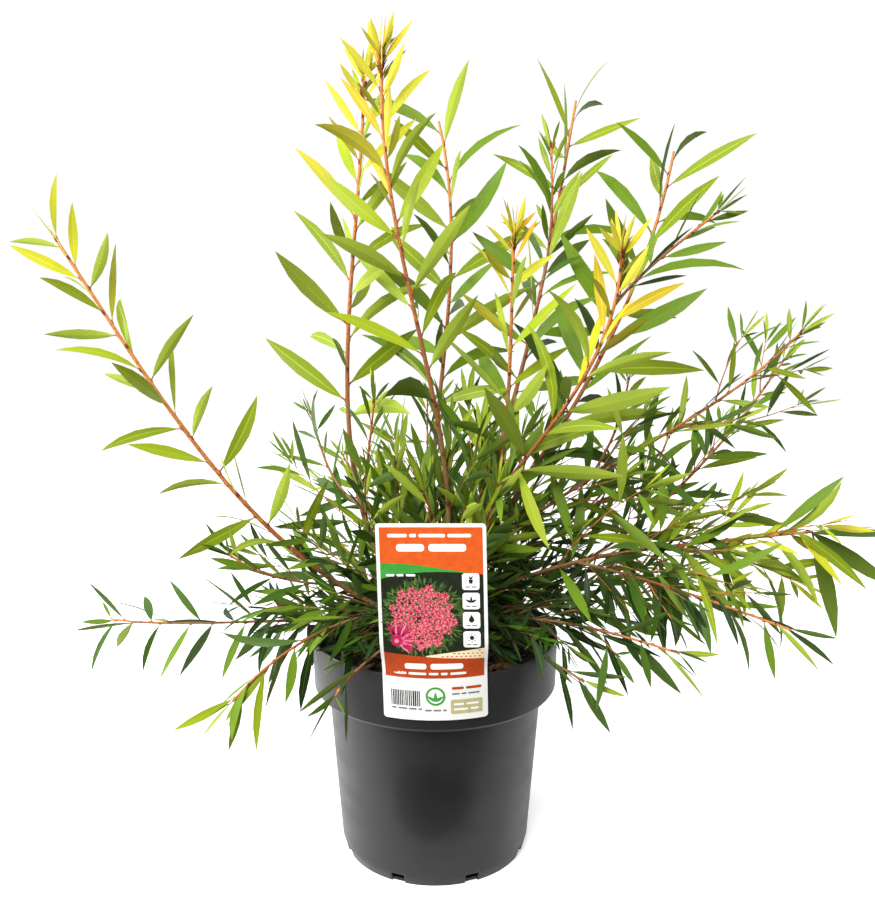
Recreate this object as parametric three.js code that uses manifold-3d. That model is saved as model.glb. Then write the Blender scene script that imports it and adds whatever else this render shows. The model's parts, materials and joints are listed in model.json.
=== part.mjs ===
// A young bottlebrush plant in its nursery pot, as separate solids.
// Millimetres, +Z up. The origin is the middle of the pot's flat underside, and -Y is the front.
import * as THREE from "three";
import { mergeVertices } from "three/addons/utils/BufferGeometryUtils.js";
import Module from "manifold-3d";

const wasm = await Module();
wasm.setup();

// ---- Driving dimensions: the pot and what hangs on its rim ----

const CLEARANCE = 0.3;
const POT = {
  height: 185,
  rimRadius: 100,
  bandHeight: 43,
  bandFootRadius: 99.2,
  bodyRadius: 87.5,
  heelRadius: 78,
  heelHeight: 10,
  baseRadius: 75,
  wall: 1.6,
  floor: 2.5,
  lip: 0.8,
  segments: 40,
};
const DRAIN = { count: 8, width: 11, height: 8, reach: 10 };
const SOIL = { drop: 22, crown: 2, flatRadius: 16 };
const CARD = { width: 79, height: 150, overBand: 33, thickness: 0.9, lean: 1.6, flatFrom: 2, flatOver: 30 };
const TONGUE = { width: 30, depth: 16, setIn: 2.6, lap: 0.5 };
const CLIP = { azimuth: 180, outerLeg: 4.6, innerLeg: 2, drop: 30, innerDrop: 14, width: 10, bridge: 2 };

// ---- Driving dimensions: the wood ----

const TRUNK = { flareRadius: 12, neckRadius: 8, neckHeight: 12, topRadius: 6.5, topHeight: 39, sides: 10 };
const FORK = { least: 24, limit: 0.32, step: 2, gap: 1, clear: 1.2 };
const LIMB = { sides: 6, step: 26, leastDiameter: 2.6, lengthPerDiameter: 220, tipDiameter: 2.2 };
const STEM = { sides: 3, step: 34, fatter: 1.25 };
const HANDLE = 0.35;

// ---- Driving dimensions: the leaves ----

// How leaves sit on a shoot. leaf: length. width: share of it. gap: mean spacing. crowding: how much closer the
// last leaves stand. each: how many leaves one solid leaf stands for. open: angle to the stem at the foot and
// at the tip. sag: how far the leaf's tip sinks. youngest: size of the last leaf. girth: the stem's thickness
// against a tall shoot's. twigGap, twig: spacing and length of the side twigs.
const TALL = {
  leaf: 76, width: 0.155, gap: 8, crowding: 1.6, each: 1, open: [62, 32], sag: 0.04, youngest: 0.34, girth: 1,
  twigGap: 0, twig: 0,
};
const CUT = { ...TALL, leaf: 80, gap: 10, crowding: 1, open: [60, 46], youngest: 0.8 };
const SWEEP = { ...TALL, leaf: 70, gap: 10, crowding: 1.15, open: [58, 38], sag: 0.02, youngest: 0.6 };
const SPRAY = {
  leaf: 56, width: 0.145, gap: 9, crowding: 1.25, each: 2, open: [50, 28], sag: 0.08, youngest: 0.45,
  girth: 0.75, twigGap: 36, twig: 72,
};
const ARM = {
  ...SPRAY, leaf: 74, gap: 8.5, crowding: 1.2, open: [60, 44], sag: 0.32, youngest: 0.75, girth: 0.9,
  twigGap: 32, twig: 95,
};
const HANGING = { ...SPRAY, gap: 10, open: [58, 34], sag: 0.5, youngest: 0.7, twigGap: 46, twig: 48 };
const TRAILING = { ...HANGING, leaf: 60, gap: 8.5, each: 1, twigGap: 0, twig: 0 };
const LEVEL = { ...TRAILING, leaf: 58, gap: 8.5, crowding: 1.1, open: [58, 48], sag: 0.25, youngest: 0.85 };
const SHORT = {
  ...SPRAY, leaf: 50, gap: 8, open: [44, 22], sag: 0.03, youngest: 0.5, twigGap: 0, twig: 0,
};
const SPUR = { ...SHORT, gap: 8.5, open: [48, 26] };

const LEAF = { thickness: 1.5, widestAt: 0.42, thickestAt: 0.16, larger: 1.06 };
const LEAF_SPREAD = { open: 16, roll: 32, size: 0.18 };
const AGING = 2.3;
const TWIG = { diameter: 2.4, taper: 0.4, open: 42, turnBack: 0.4, droop: 0.3, shorter: 0.45, spread: 0.2 };
const TWIG_LEAVES = { bareShare: 0.25, size: 0.85, gap: 1.15, youngest: 0.7 };
const DRAWS = { turn: 0, twigTurn: 50, twigLength: 51, twigSeeds: 100 };
const GOLDEN_ANGLE = 137.5;
const FIRST_LEAF = 8;
const SPACE = { sample: 4, margin: 1, path: 8, limb: 3.5 };

// ---- Driving dimensions: the shoots ----

// foot: height on the trunk, or the parent shoot and the share of its length.
// leave and end: azimuth and slope, in degrees, where the shoot starts and where it ends.
// tip: azimuth in degrees, reach from the trunk's axis, and height over the pot's underside.
// bough: the share of the length that is a bare bough; without it the leafy stem starts at the foot.
const SHOOTS = {
  tall_front: { foot: 195, leave: [-40, 70], tip: [-128, 60, 632], end: [-65, 80], bough: 0.42, habit: TALL },
  tall_left: { foot: 182, leave: [-170, 45], tip: [155, 60, 625], end: [80, 85], bough: 0.4, habit: TALL },
  thin_middle: { foot: 200, leave: [135, 80], tip: [88, 90, 595], end: [130, 70], bough: 0.42, habit: CUT },
  gold_middle: { foot: 200, leave: [-15, 50], tip: [-25, 65, 505], end: [-80, 80], bough: 0.4, habit: TALL },
  tall_back: { foot: 203, leave: [5, 65], tip: [45, 170, 615], end: [60, 70], bough: 0.4, habit: CUT },
  tall_right: { foot: 200, leave: [5, 55], tip: [21, 210, 570], end: [55, 70], bough: 0.36, habit: CUT },
  front_arch: {
    foot: 195, leave: [-60, 75], tip: [-34, 155, 495], end: [-120, 85], bough: 0.38, habit: TALL,
  },
  right_high: { foot: 193, leave: [5, 60], tip: [4, 295, 430], end: [15, 45], bough: 0.36, habit: SPRAY },
  right_back: { foot: 190, leave: [10, 10], tip: [22, 340, 395], end: [35, 45], bough: 0.34, habit: SPRAY },
  right_low: { foot: 188, leave: [-5, 40], tip: [-12, 290, 285], end: [-10, 10], bough: 0.34, habit: ARM },
  right_inner: { foot: 184, leave: [25, 15], tip: [16, 230, 210], end: [20, 20], bough: 0.4, habit: SPRAY },
  right_front: {
    foot: 180, leave: [-15, 30], tip: [-30, 205, 205], end: [-45, 0], bough: 0.4, habit: HANGING,
  },
  left_sweep: {
    foot: 186, leave: [-170, 20], tip: [-168, 280, 506], end: [-166, 60], bough: 0.3, habit: SWEEP,
  },
  left_level: { foot: 182, leave: [170, 10], tip: [175, 275, 185], end: [160, 0], bough: 0.36, habit: LEVEL },
  left_droop: {
    foot: 180, leave: [-145, 50], tip: [-143, 185, 170], end: [-150, -45], bough: 0.45, habit: TRAILING,
  },
  rim_left: {
    foot: 180, leave: [-90, 40], tip: [-118, 150, 185], end: [-110, -15], bough: 0.5, habit: HANGING,
  },
  front_low: {
    foot: 182, leave: [-45, 35], tip: [-37, 140, 175], end: [-35, -20], bough: 0.45, habit: HANGING,
  },
  rear_left: { foot: 186, leave: [130, 40], tip: [118, 190, 300], end: [118, 35], bough: 0.34, habit: SPRAY },
  rear_middle: { foot: 192, leave: [95, 45], tip: [92, 215, 345], end: [90, 40], bough: 0.34, habit: SPRAY },
  rear_right: { foot: 188, leave: [60, 45], tip: [55, 215, 330], end: [55, 35], bough: 0.34, habit: SPRAY },
  rear_low: { foot: 181, leave: [105, 30], tip: [108, 185, 225], end: [108, 0], bough: 0.4, habit: HANGING },
  middle_inner: { foot: 195, leave: [-170, 55], tip: [-154, 35, 330], end: [-110, 75], habit: SHORT },
  front_inner: { foot: 193, leave: [-40, 45], tip: [-51, 75, 322], end: [-51, 75], habit: SHORT },
  rear_inner: { foot: 197, leave: [110, 45], tip: [102, 62, 300], end: [102, 80], habit: SHORT },
  right_middle: { foot: 187, leave: [20, 35], tip: [24, 175, 300], end: [24, 45], bough: 0.4, habit: SPRAY },
  left_low: {
    foot: ["left_sweep", 0.2], leave: [-160, 10], tip: [-166, 165, 262], end: [-160, 45], habit: SHORT,
  },
  back_bud: {
    foot: ["tall_back", 0.62], leave: [45, 70], tip: [40, 125, 575], end: [100, 75], habit: SPUR,
  },
  arch_side: {
    foot: ["front_arch", 0.88], leave: [20, 50], tip: [-17, 210, 520], end: [25, 35], habit: SPUR,
  },
  back_spur: {
    foot: ["right_back", 0.48], leave: [60, 60], tip: [24, 225, 330], end: [40, 60], habit: SPUR,
  },
  right_spur: {
    foot: ["right_high", 0.45], leave: [30, 50], tip: [21, 175, 385], end: [65, 65], habit: SPUR,
  },
  right_droop: {
    foot: ["right_low", 0.42], leave: [-40, 0], tip: [-26, 280, 230], end: [-35, -10], habit: HANGING,
  },
  left_spur: {
    foot: ["tall_left", 0.27], leave: [145, 20], tip: [148, 125, 355], end: [115, 45], habit: SPUR,
  },
  left_inner: {
    foot: ["tall_left", 0.22], leave: [-125, 70], tip: [-148, 55, 380], end: [-75, 75], habit: SPUR,
  },
};

// ---- Materials ----

function material(colour, roughness) {
  return new THREE.MeshStandardMaterial({ color: colour, roughness, metalness: 0 });
}

const POT_PLASTIC = material(0x34363b, 0.45);
const SOIL_EARTH = material(0x2b221c, 0.95);
const CARD_PLASTIC = material(0xe8762b, 0.4);
const CLIP_PLASTIC = material(0x2a2d31, 0.4);
const BARK = material(0x9a6240, 0.7);
const LEAF_GREEN = material(0x6d9a35, 0.5);

// ---- Directions, repeatable chance and closed meshes ----

const radians = THREE.MathUtils.degToRad;
const UP = new THREE.Vector3(0, 0, 1);
const WORD = 2 ** 32;
const MIX = { seed: 7919, draw: 104729, factor: 1664525, step: 1013904223, turns: 3 };

function direction(azimuth, slope) {
  const level = Math.cos(radians(slope));
  const heading = radians(azimuth);
  return new THREE.Vector3(level * Math.cos(heading), level * Math.sin(heading), Math.sin(radians(slope)));
}

function cylindrical(azimuth, reach, height) {
  return direction(azimuth, 0).multiplyScalar(reach).setZ(height);
}

// A number from -1 to 1 that is always the same for one seed and draw.
function chance(seed, draw) {
  let value = (seed * MIX.seed + draw * MIX.draw + 1) >>> 0;
  for (let turn = 0; turn < MIX.turns; turn += 1) {
    value = (Math.imul(value, MIX.factor) + MIX.step) >>> 0;
  }
  return (2 * value) / WORD - 1;
}

function welded(geometry) {
  const bare = geometry.clone();
  bare.deleteAttribute("normal");
  bare.deleteAttribute("uv");
  const merged = mergeVertices(bare, 1e-4);
  const corners = merged.index.array;
  const kept = [];
  for (let i = 0; i < corners.length; i += 3) {
    const [a, b, c] = corners.slice(i, i + 3);
    if (a !== b && b !== c && c !== a) kept.push(a, b, c);
  }
  merged.setIndex(kept);
  return merged;
}

function solidOf(geometry) {
  const merged = welded(geometry);
  const vertProperties = new Float32Array(merged.attributes.position.array);
  const triVerts = new Uint32Array(merged.index.array);
  return new wasm.Manifold(new wasm.Mesh({ numProp: 3, vertProperties, triVerts }));
}

// The main piece of a fused solid: loose scraps and sealed hollows are left out.
function mainPiece(solid) {
  const pieces = solid.decompose();
  return pieces.reduce((best, piece) => (piece.volume() > best.volume() ? piece : best));
}

function geometryOf(solid) {
  const { vertProperties, triVerts } = solid.getMesh();
  const geometry = new THREE.BufferGeometry();
  geometry.setAttribute("position", new THREE.BufferAttribute(vertProperties, 3));
  geometry.setIndex(new THREE.BufferAttribute(triVerts, 1));
  return geometry;
}

function namedMesh(name, geometry, finish) {
  const mesh = new THREE.Mesh(geometry, finish);
  mesh.name = name;
  return mesh;
}

// Turns a profile of [radius, height] pairs about the upright axis.
function turned(profile, segments) {
  const points = profile.map(([radius, height]) => new THREE.Vector2(radius, height));
  return new THREE.LatheGeometry(points, segments).rotateX(Math.PI / 2);
}

// ---- The pot, its soil, the label card and the clip ----

const BAND_FOOT = POT.height - POT.bandHeight;
const LEDGE = 1.5;
const INNER_RIM = POT.rimRadius - POT.wall;

function potMesh() {
  const profile = [
    [0, 0],
    [POT.baseRadius, 0],
    [POT.heelRadius, POT.heelHeight],
    [POT.bodyRadius, BAND_FOOT - LEDGE],
    [POT.bandFootRadius - LEDGE, BAND_FOOT - LEDGE / 2],
    [POT.bandFootRadius, BAND_FOOT + LEDGE],
    [POT.rimRadius, POT.height - POT.lip],
    [POT.rimRadius - POT.lip / 2, POT.height],
    [INNER_RIM + POT.lip / 2, POT.height],
    [INNER_RIM, POT.height - POT.lip],
    [POT.bandFootRadius - POT.wall, BAND_FOOT + LEDGE + POT.wall],
    [POT.bodyRadius - POT.wall, BAND_FOOT + POT.wall],
    [POT.heelRadius - POT.wall, POT.heelHeight],
    [POT.baseRadius - POT.wall, POT.floor],
    [0, POT.floor],
  ];
  const shell = solidOf(turned(profile, POT.segments));
  const notches = [];
  for (let i = 0; i < DRAIN.count; i += 1) {
    const notch = new THREE.BoxGeometry(DRAIN.reach, DRAIN.width, 2 * DRAIN.height);
    notch.translate(POT.heelRadius, 0, 0);
    notch.rotateZ((i + 0.5) * ((2 * Math.PI) / DRAIN.count));
    notches.push(solidOf(notch));
  }
  const drained = shell.subtract(wasm.Manifold.union(notches));
  return namedMesh("pot", geometryOf(mainPiece(drained)), POT_PLASTIC);
}

const SOIL_EDGE = POT.height - SOIL.drop;
const GROUND = SOIL_EDGE + SOIL.crown + CLEARANCE;

function soilMesh() {
  const inset = POT.wall + CLEARANCE;
  const edgeRise = (SOIL_EDGE - BAND_FOOT) / POT.bandHeight;
  const edgeRadius = THREE.MathUtils.lerp(POT.bandFootRadius, POT.rimRadius, edgeRise) - inset;
  const profile = [
    [0, POT.floor + CLEARANCE],
    [POT.baseRadius - inset, POT.floor + CLEARANCE],
    [POT.heelRadius - inset, POT.heelHeight],
    [POT.bodyRadius - inset, BAND_FOOT + POT.wall + CLEARANCE],
    [POT.bandFootRadius - inset, BAND_FOOT + LEDGE + POT.wall + CLEARANCE],
    [edgeRadius, SOIL_EDGE],
    [SOIL.flatRadius, SOIL_EDGE + SOIL.crown],
    [0, SOIL_EDGE + SOIL.crown],
  ];
  return namedMesh("soil", welded(turned(profile, POT.segments)), SOIL_EARTH);
}

// A ring sector centred on the front of the pot.
function frontSector(innerRadius, outerRadius, halfAngle, bottom, height) {
  const shape = new THREE.Shape();
  const start = -Math.PI / 2 - halfAngle;
  const stop = -Math.PI / 2 + halfAngle;
  shape.absarc(0, 0, outerRadius, start, stop, false);
  shape.absarc(0, 0, innerRadius, stop, start, true);
  const options = { depth: height, bevelEnabled: false, curveSegments: 6 };
  return new THREE.ExtrudeGeometry(shape, options).translate(0, 0, bottom);
}

// The card's foot is wrapped on the band, and the rest stands up flat above the rim.
function cardSheet() {
  const sheet = new THREE.BoxGeometry(CARD.width, CARD.thickness, CARD.height, 8, 1, 10);
  const places = sheet.attributes.position;
  const radius = POT.rimRadius + CLEARANCE + CARD.thickness / 2;
  const slant = Math.tan(radians(CARD.lean));
  for (let i = 0; i < places.count; i += 1) {
    const height = places.getZ(i) + CARD.height / 2 + POT.height - CARD.overBand;
    const across = places.getX(i) - slant * (height - POT.height);
    const out = radius - places.getY(i);
    const flat = THREE.MathUtils.smoothstep(height - POT.height - CARD.flatFrom, 0, CARD.flatOver);
    const x = THREE.MathUtils.lerp(out * Math.sin(across / radius), across, flat);
    const y = THREE.MathUtils.lerp(-out * Math.cos(across / radius), -out, flat);
    places.setXYZ(i, x, y, height);
  }
  return solidOf(sheet);
}

function cardMesh() {
  const halfAngle = TONGUE.width / 2 / POT.rimRadius;
  const inner = POT.rimRadius - POT.wall - TONGUE.setIn;
  const outer = inner + CARD.thickness;
  const over = POT.height + CLEARANCE;
  const tongueHeight = TONGUE.depth + CLEARANCE + TONGUE.lap;
  const tongue = frontSector(inner, outer, halfAngle, POT.height - TONGUE.depth, tongueHeight);
  const bridgeReach = POT.rimRadius + CLEARANCE + CARD.thickness / 2;
  const bridge = frontSector(inner, bridgeReach, halfAngle, over, CARD.thickness);
  const parts = [cardSheet(), solidOf(tongue), solidOf(bridge)];
  return namedMesh("label_card", geometryOf(mainPiece(wasm.Manifold.union(parts))), CARD_PLASTIC);
}

function clipMesh() {
  const outerFace = POT.rimRadius + CLEARANCE;
  const innerFace = POT.bandFootRadius - POT.wall - 2 * CLEARANCE;
  const under = POT.height + CLEARANCE;
  const shape = new THREE.Shape();
  shape.moveTo(outerFace, POT.height - CLIP.drop);
  shape.lineTo(outerFace + CLIP.outerLeg, POT.height - CLIP.drop);
  shape.lineTo(outerFace + CLIP.outerLeg, under + CLIP.bridge);
  shape.lineTo(innerFace - CLIP.innerLeg, under + CLIP.bridge);
  shape.lineTo(innerFace - CLIP.innerLeg, POT.height - CLIP.innerDrop);
  shape.lineTo(innerFace, POT.height - CLIP.innerDrop);
  shape.lineTo(innerFace, under);
  shape.lineTo(outerFace, under);
  shape.closePath();
  const hook = new THREE.ExtrudeGeometry(shape, { depth: CLIP.width, bevelEnabled: false });
  hook.translate(0, 0, -CLIP.width / 2).rotateX(Math.PI / 2).rotateZ(radians(CLIP.azimuth));
  return namedMesh("rim_clip", welded(hook), CLIP_PLASTIC);
}

// ---- Shoots: one curve each, from the trunk or a parent shoot to the tip ----

function plannedShoot(name, seed, grown) {
  const plan = SHOOTS[name];
  const onTrunk = typeof plan.foot === "number";
  const parent = onTrunk ? null : grown.get(plan.foot[0]);
  const foot = onTrunk ? new THREE.Vector3(0, 0, plan.foot) : parent.curve.getPointAt(plan.foot[1]);
  const tip = cylindrical(...plan.tip);
  const handle = HANDLE * foot.distanceTo(tip);
  const leaving = foot.clone().addScaledVector(direction(...plan.leave), handle);
  const arriving = tip.clone().addScaledVector(direction(...plan.end), -handle);
  const curve = new THREE.CubicBezierCurve3(foot, leaving, arriving, tip);
  const length = curve.getLength();
  const path = curve.getSpacedPoints(Math.ceil(length / SPACE.path));
  const sideways = direction(plan.tip[0] + 90, 0);
  return { bough: 0, name, seed, curve, length, path, sideways, parent, footShare: plan.foot[1], ...plan };
}

function grownShoots() {
  const grown = new Map();
  Object.keys(SHOOTS).forEach((name, index) => grown.set(name, plannedShoot(name, index + 1, grown)));
  for (const shoot of grown.values()) {
    if (!shoot.parent) shoot.stub = forkLength(shoot, grown) / shoot.length;
  }
  return grown;
}

function radiusAt(shoot, share) {
  const footDiameter = LIMB.leastDiameter + shoot.length / LIMB.lengthPerDiameter;
  return (shoot.habit.girth * THREE.MathUtils.lerp(footDiameter, LIMB.tipDiameter, share)) / 2;
}

// The tangent at a share of the length, and two directions square to it.
function frameAt(curve, share, sideways) {
  const along = curve.getTangentAt(share);
  const across = sideways.clone().addScaledVector(along, -sideways.dot(along)).normalize();
  return { along, across, third: across.clone().cross(along) };
}

// A tapering limb along a stretch of a curve, given in shares of its length.
function limbGeometry(curve, sideways, from, to, radius, sides, step) {
  const rings = Math.max(1, Math.round(((to - from) * curve.getLength()) / step));
  const limb = new THREE.CylinderGeometry(1, 1, 1, sides, rings);
  const places = limb.attributes.position;
  for (let i = 0; i < places.count; i += 1) {
    const share = THREE.MathUtils.clamp(from + (places.getY(i) + 0.5) * (to - from), 0, 1);
    const { across, third } = frameAt(curve, share, sideways);
    const place = curve.getPointAt(share);
    place.addScaledVector(across, places.getX(i) * radius(share));
    place.addScaledVector(third, places.getZ(i) * radius(share));
    places.setXYZ(i, place.x, place.y, place.z);
  }
  return limb;
}

// How far the trunk carries a shoot: up to where it has drawn clear of all the other shoots there.
function forkLength(shoot, grown) {
  const rivals = [...grown.values()].filter((other) => other !== shoot && !other.parent);
  let length = shoot.length * FORK.limit;
  while (length > FORK.least) {
    const share = (length - FORK.step) / shoot.length;
    const point = shoot.curve.getPointAt(share);
    const apart = radiusAt(shoot, share) + SPACE.limb / 2 + FORK.gap;
    if (rivals.some((other) => distanceToPath(point, other.path) < apart)) break;
    length -= FORK.step;
  }
  return length;
}

function shootLimb(shoot, from, to, sides, step, extra = 0, scale = 1) {
  const radius = (share) => scale * radiusAt(shoot, share) + extra;
  return limbGeometry(shoot.curve, shoot.sideways, from, to, radius, sides, step);
}

// ---- The trunk with the stubs that its boughs stand on, and the boughs ----

function trunkMesh(shoots) {
  const profile = [
    [0, GROUND],
    [TRUNK.flareRadius, GROUND],
    [TRUNK.neckRadius, GROUND + TRUNK.neckHeight],
    [TRUNK.topRadius, GROUND + TRUNK.topHeight],
    [0, GROUND + TRUNK.topHeight + TRUNK.topRadius / 2],
  ];
  const solids = [solidOf(turned(profile, TRUNK.sides))];
  for (const shoot of shoots.values()) {
    if (shoot.parent) continue;
    solids.push(solidOf(shootLimb(shoot, 0, shoot.stub, LIMB.sides, FORK.least)));
  }
  return namedMesh("trunk", geometryOf(mainPiece(wasm.Manifold.union(solids))), BARK);
}

function boughMesh(shoot) {
  const from = shoot.stub + CLEARANCE / shoot.length;
  const limb = shootLimb(shoot, from, shoot.bough, LIMB.sides, LIMB.step);
  return namedMesh(`bough_${shoot.name}`, welded(limb), BARK);
}

// ---- Each mass's own space ----

function distanceToPath(point, path) {
  const link = new THREE.Line3();
  const nearest = new THREE.Vector3();
  let least = Infinity;
  for (let i = 1; i < path.length; i += 1) {
    link.set(path[i - 1], path[i]).closestPointToPoint(point, true, nearest);
    least = Math.min(least, nearest.distanceToSquared(point));
  }
  return Math.sqrt(least);
}

function touchesPot(point, margin) {
  const reach = Math.hypot(point.x, point.y);
  const atClip = Math.abs(point.y) < CLIP.width && point.x < 0;
  const rimReach = POT.rimRadius + (atClip ? CLIP.outerLeg : 0) + CLEARANCE;
  const rimHeight = POT.height + CLIP.bridge + CLEARANCE;
  return reach < rimReach + margin && point.z < rimHeight + margin;
}

function touchesCard(point, margin) {
  const atCard = Math.abs(point.x) < CARD.width / 2 + margin + CARD.height * Math.tan(radians(CARD.lean));
  const nearCard = Math.abs(point.y + POT.rimRadius) < margin + 2 * CLEARANCE + CARD.thickness;
  const belowTop = point.z < POT.height + CARD.height - CARD.overBand + margin;
  return atCard && nearCard && belowTop;
}

function touchesTrunk(point, margin) {
  const reach = Math.hypot(point.x, point.y);
  return reach < TRUNK.flareRadius + margin && point.z < GROUND + TRUNK.topHeight + TRUNK.topRadius + margin;
}

// True where every sample is nearer to its own shoot than to any other, by more than its half width.
function keepsToSpace(samples, own, shoots) {
  for (const { point, half } of samples) {
    const margin = half + SPACE.margin;
    if (touchesPot(point, margin) || touchesCard(point, margin) || touchesTrunk(point, margin)) return false;
    const ownDistance = distanceToPath(point, own.path);
    for (const other of shoots.values()) {
      if (other === own) continue;
      const distance = distanceToPath(point, other.path);
      if (distance < SPACE.limb + margin || distance < ownDistance + 2 * margin) return false;
    }
  }
  return true;
}

// ---- Leaves, twigs and masses ----

// A leaf from its root to its tip: eight faces, thickest near the root and widest further out.
function leafGeometry(leaf) {
  const shape = new THREE.OctahedronGeometry(1);
  const places = shape.attributes.position;
  const face = leaf.wide.clone().cross(leaf.heading);
  for (let i = 0; i < places.count; i += 1) {
    const [x, y, z] = [places.getX(i), places.getY(i), places.getZ(i)];
    const outAt = y > 0.5 ? 1 : LEAF.widestAt * Math.abs(x) + LEAF.thickestAt * Math.abs(z);
    const place = leaf.root.clone().addScaledVector(leaf.heading, outAt * leaf.length);
    place.addScaledVector(leaf.wide, (x * leaf.length * leaf.width) / 2);
    place.addScaledVector(face, (z * LEAF.thickness) / 2);
    places.setXYZ(i, place.x, place.y, place.z);
  }
  return shape;
}

function leafSamples(leaf) {
  const count = Math.ceil(leaf.length / SPACE.sample);
  const samples = [];
  for (let i = 1; i <= count; i += 1) {
    const share = i / count;
    const point = leaf.root.clone().addScaledVector(leaf.heading, share * leaf.length);
    const taper = share < LEAF.widestAt ? share / LEAF.widestAt : (1 - share) / (1 - LEAF.widestAt);
    samples.push({ point, half: (taper * leaf.length * leaf.width) / 2 });
  }
  return samples;
}

// One leaf of a stem: its turn about the stem, its angle to it and its sag come from its number.
function leafOnStem(stem, index, at) {
  const share = at / stem.length;
  const { along, across, third } = frameAt(stem.curve, share, stem.sideways);
  const turn = radians(index * GOLDEN_ANGLE + 180 * chance(stem.seed, DRAWS.turn));
  const out = across.multiplyScalar(Math.cos(turn)).addScaledVector(third, Math.sin(turn));
  const youth = Math.max(0, (share - stem.leafFrom) / (1 - stem.leafFrom));
  const spread = LEAF_SPREAD.open * chance(stem.seed, 4 * index + 1);
  const open = radians(THREE.MathUtils.lerp(...stem.habit.open, youth) + spread);
  const heading = along.clone().multiplyScalar(Math.cos(open)).addScaledVector(out, Math.sin(open));
  heading.z -= stem.habit.sag * (1 + chance(stem.seed, 4 * index + 2));
  heading.normalize();
  const wide = along.addScaledVector(heading, -along.dot(heading)).normalize();
  wide.applyAxisAngle(heading, radians(LEAF_SPREAD.roll * chance(stem.seed, 4 * index + 3)));
  const age = THREE.MathUtils.lerp(1, stem.youngest, youth ** AGING);
  const size = age * (1 + LEAF_SPREAD.size * chance(stem.seed, 4 * index + 4));
  const { width } = stem.habit;
  return { root: stem.curve.getPointAt(share), heading, wide, width, length: stem.leaf * size * LEAF.larger };
}

// The leaves that keep to their mass's space, thinned to an even spacing.
function leavesOfStem(stem, keep) {
  const leaves = [];
  const first = stem.leafFrom * stem.length;
  const count = Math.floor((stem.length - first) / stem.gap);
  let next = 0;
  for (let index = 0; index < count; index += 1) {
    const left = (1 - index / count) ** stem.habit.crowding;
    const leaf = leafOnStem(stem, index, THREE.MathUtils.lerp(stem.length, first, left));
    if (index < next || !keep(leafSamples(leaf))) continue;
    leaves.push(leaf);
    next = index + stem.habit.each;
  }
  return leaves;
}

function stemOfShoot(shoot) {
  const { habit } = shoot;
  const leafFrom = Math.max(shoot.bough, FIRST_LEAF / shoot.length) + CLEARANCE / shoot.length;
  return { ...shoot, leafFrom, leaf: habit.leaf, gap: habit.gap, youngest: habit.youngest };
}

// A side twig leaves the stem at an angle and bends a little towards the stem's own direction.
function twigOfStem(stem, index, at) {
  const { habit } = stem;
  const share = at / stem.length;
  const { along, across, third } = frameAt(stem.curve, share, stem.sideways);
  const turn = radians(index * GOLDEN_ANGLE + 180 * chance(stem.seed, DRAWS.twigTurn));
  const out = across.multiplyScalar(Math.cos(turn)).addScaledVector(third, Math.sin(turn));
  const open = radians(TWIG.open);
  const leaving = along.clone().multiplyScalar(Math.cos(open)).addScaledVector(out, Math.sin(open));
  const youth = (share - stem.leafFrom) / (1 - stem.leafFrom);
  const luck = 1 + TWIG.spread * chance(stem.seed, DRAWS.twigLength + index);
  const length = habit.twig * (1 - TWIG.shorter * youth) * luck;
  const foot = stem.curve.getPointAt(share);
  const middle = foot.clone().addScaledVector(leaving, length / 2);
  const tip = middle.clone().addScaledVector(leaving.lerp(along, TWIG.turnBack).normalize(), length / 2);
  tip.addScaledVector(UP, -TWIG.droop * habit.sag * length);
  const curve = new THREE.QuadraticBezierCurve3(foot, middle, tip);
  const seed = stem.seed * DRAWS.twigSeeds + index;
  const leaf = habit.leaf * TWIG_LEAVES.size;
  const gap = Math.min(habit.gap, SHORT.gap) * TWIG_LEAVES.gap;
  const leafFrom = TWIG_LEAVES.bareShare;
  const { youngest } = TWIG_LEAVES;
  return { curve, length: curve.getLength(), sideways: stem.sideways, seed, habit, leafFrom, leaf, gap, youngest };
}

function twigsOfStem(stem) {
  if (!stem.habit.twigGap) return [];
  const twigs = [];
  const first = stem.leafFrom * stem.length + FIRST_LEAF;
  const count = Math.floor((stem.length - first) / stem.habit.twigGap);
  for (let index = 0; index < count; index += 1) {
    twigs.push(twigOfStem(stem, index, first + index * stem.habit.twigGap));
  }
  return twigs;
}

function twigSamples(twig) {
  const points = twig.curve.getSpacedPoints(Math.ceil(twig.length / SPACE.sample));
  return points.map((point) => ({ point, half: TWIG.diameter / 2 }));
}

function twigGeometry(twig) {
  const radius = (share) => (TWIG.diameter / 2) * (1 - TWIG.taper * share);
  return limbGeometry(twig.curve, twig.sideways, 0, 1, radius, STEM.sides, STEM.step);
}

// Where a mass grows on a parent shoot, its foot is cut clear of the parent's wood.
function clearOfParent(solid, shoot) {
  const { parent, footShare } = shoot;
  const reach = FORK.least / parent.length;
  const from = Math.max(0, footShare - reach);
  const to = Math.min(1, footShare + reach);
  const scale = footShare < parent.bough ? 1 : STEM.fatter;
  const wood = shootLimb(parent, from, to, 2 * LIMB.sides, FORK.least / 4, FORK.clear * CLEARANCE, scale);
  return solid.subtract(solidOf(wood));
}

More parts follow.
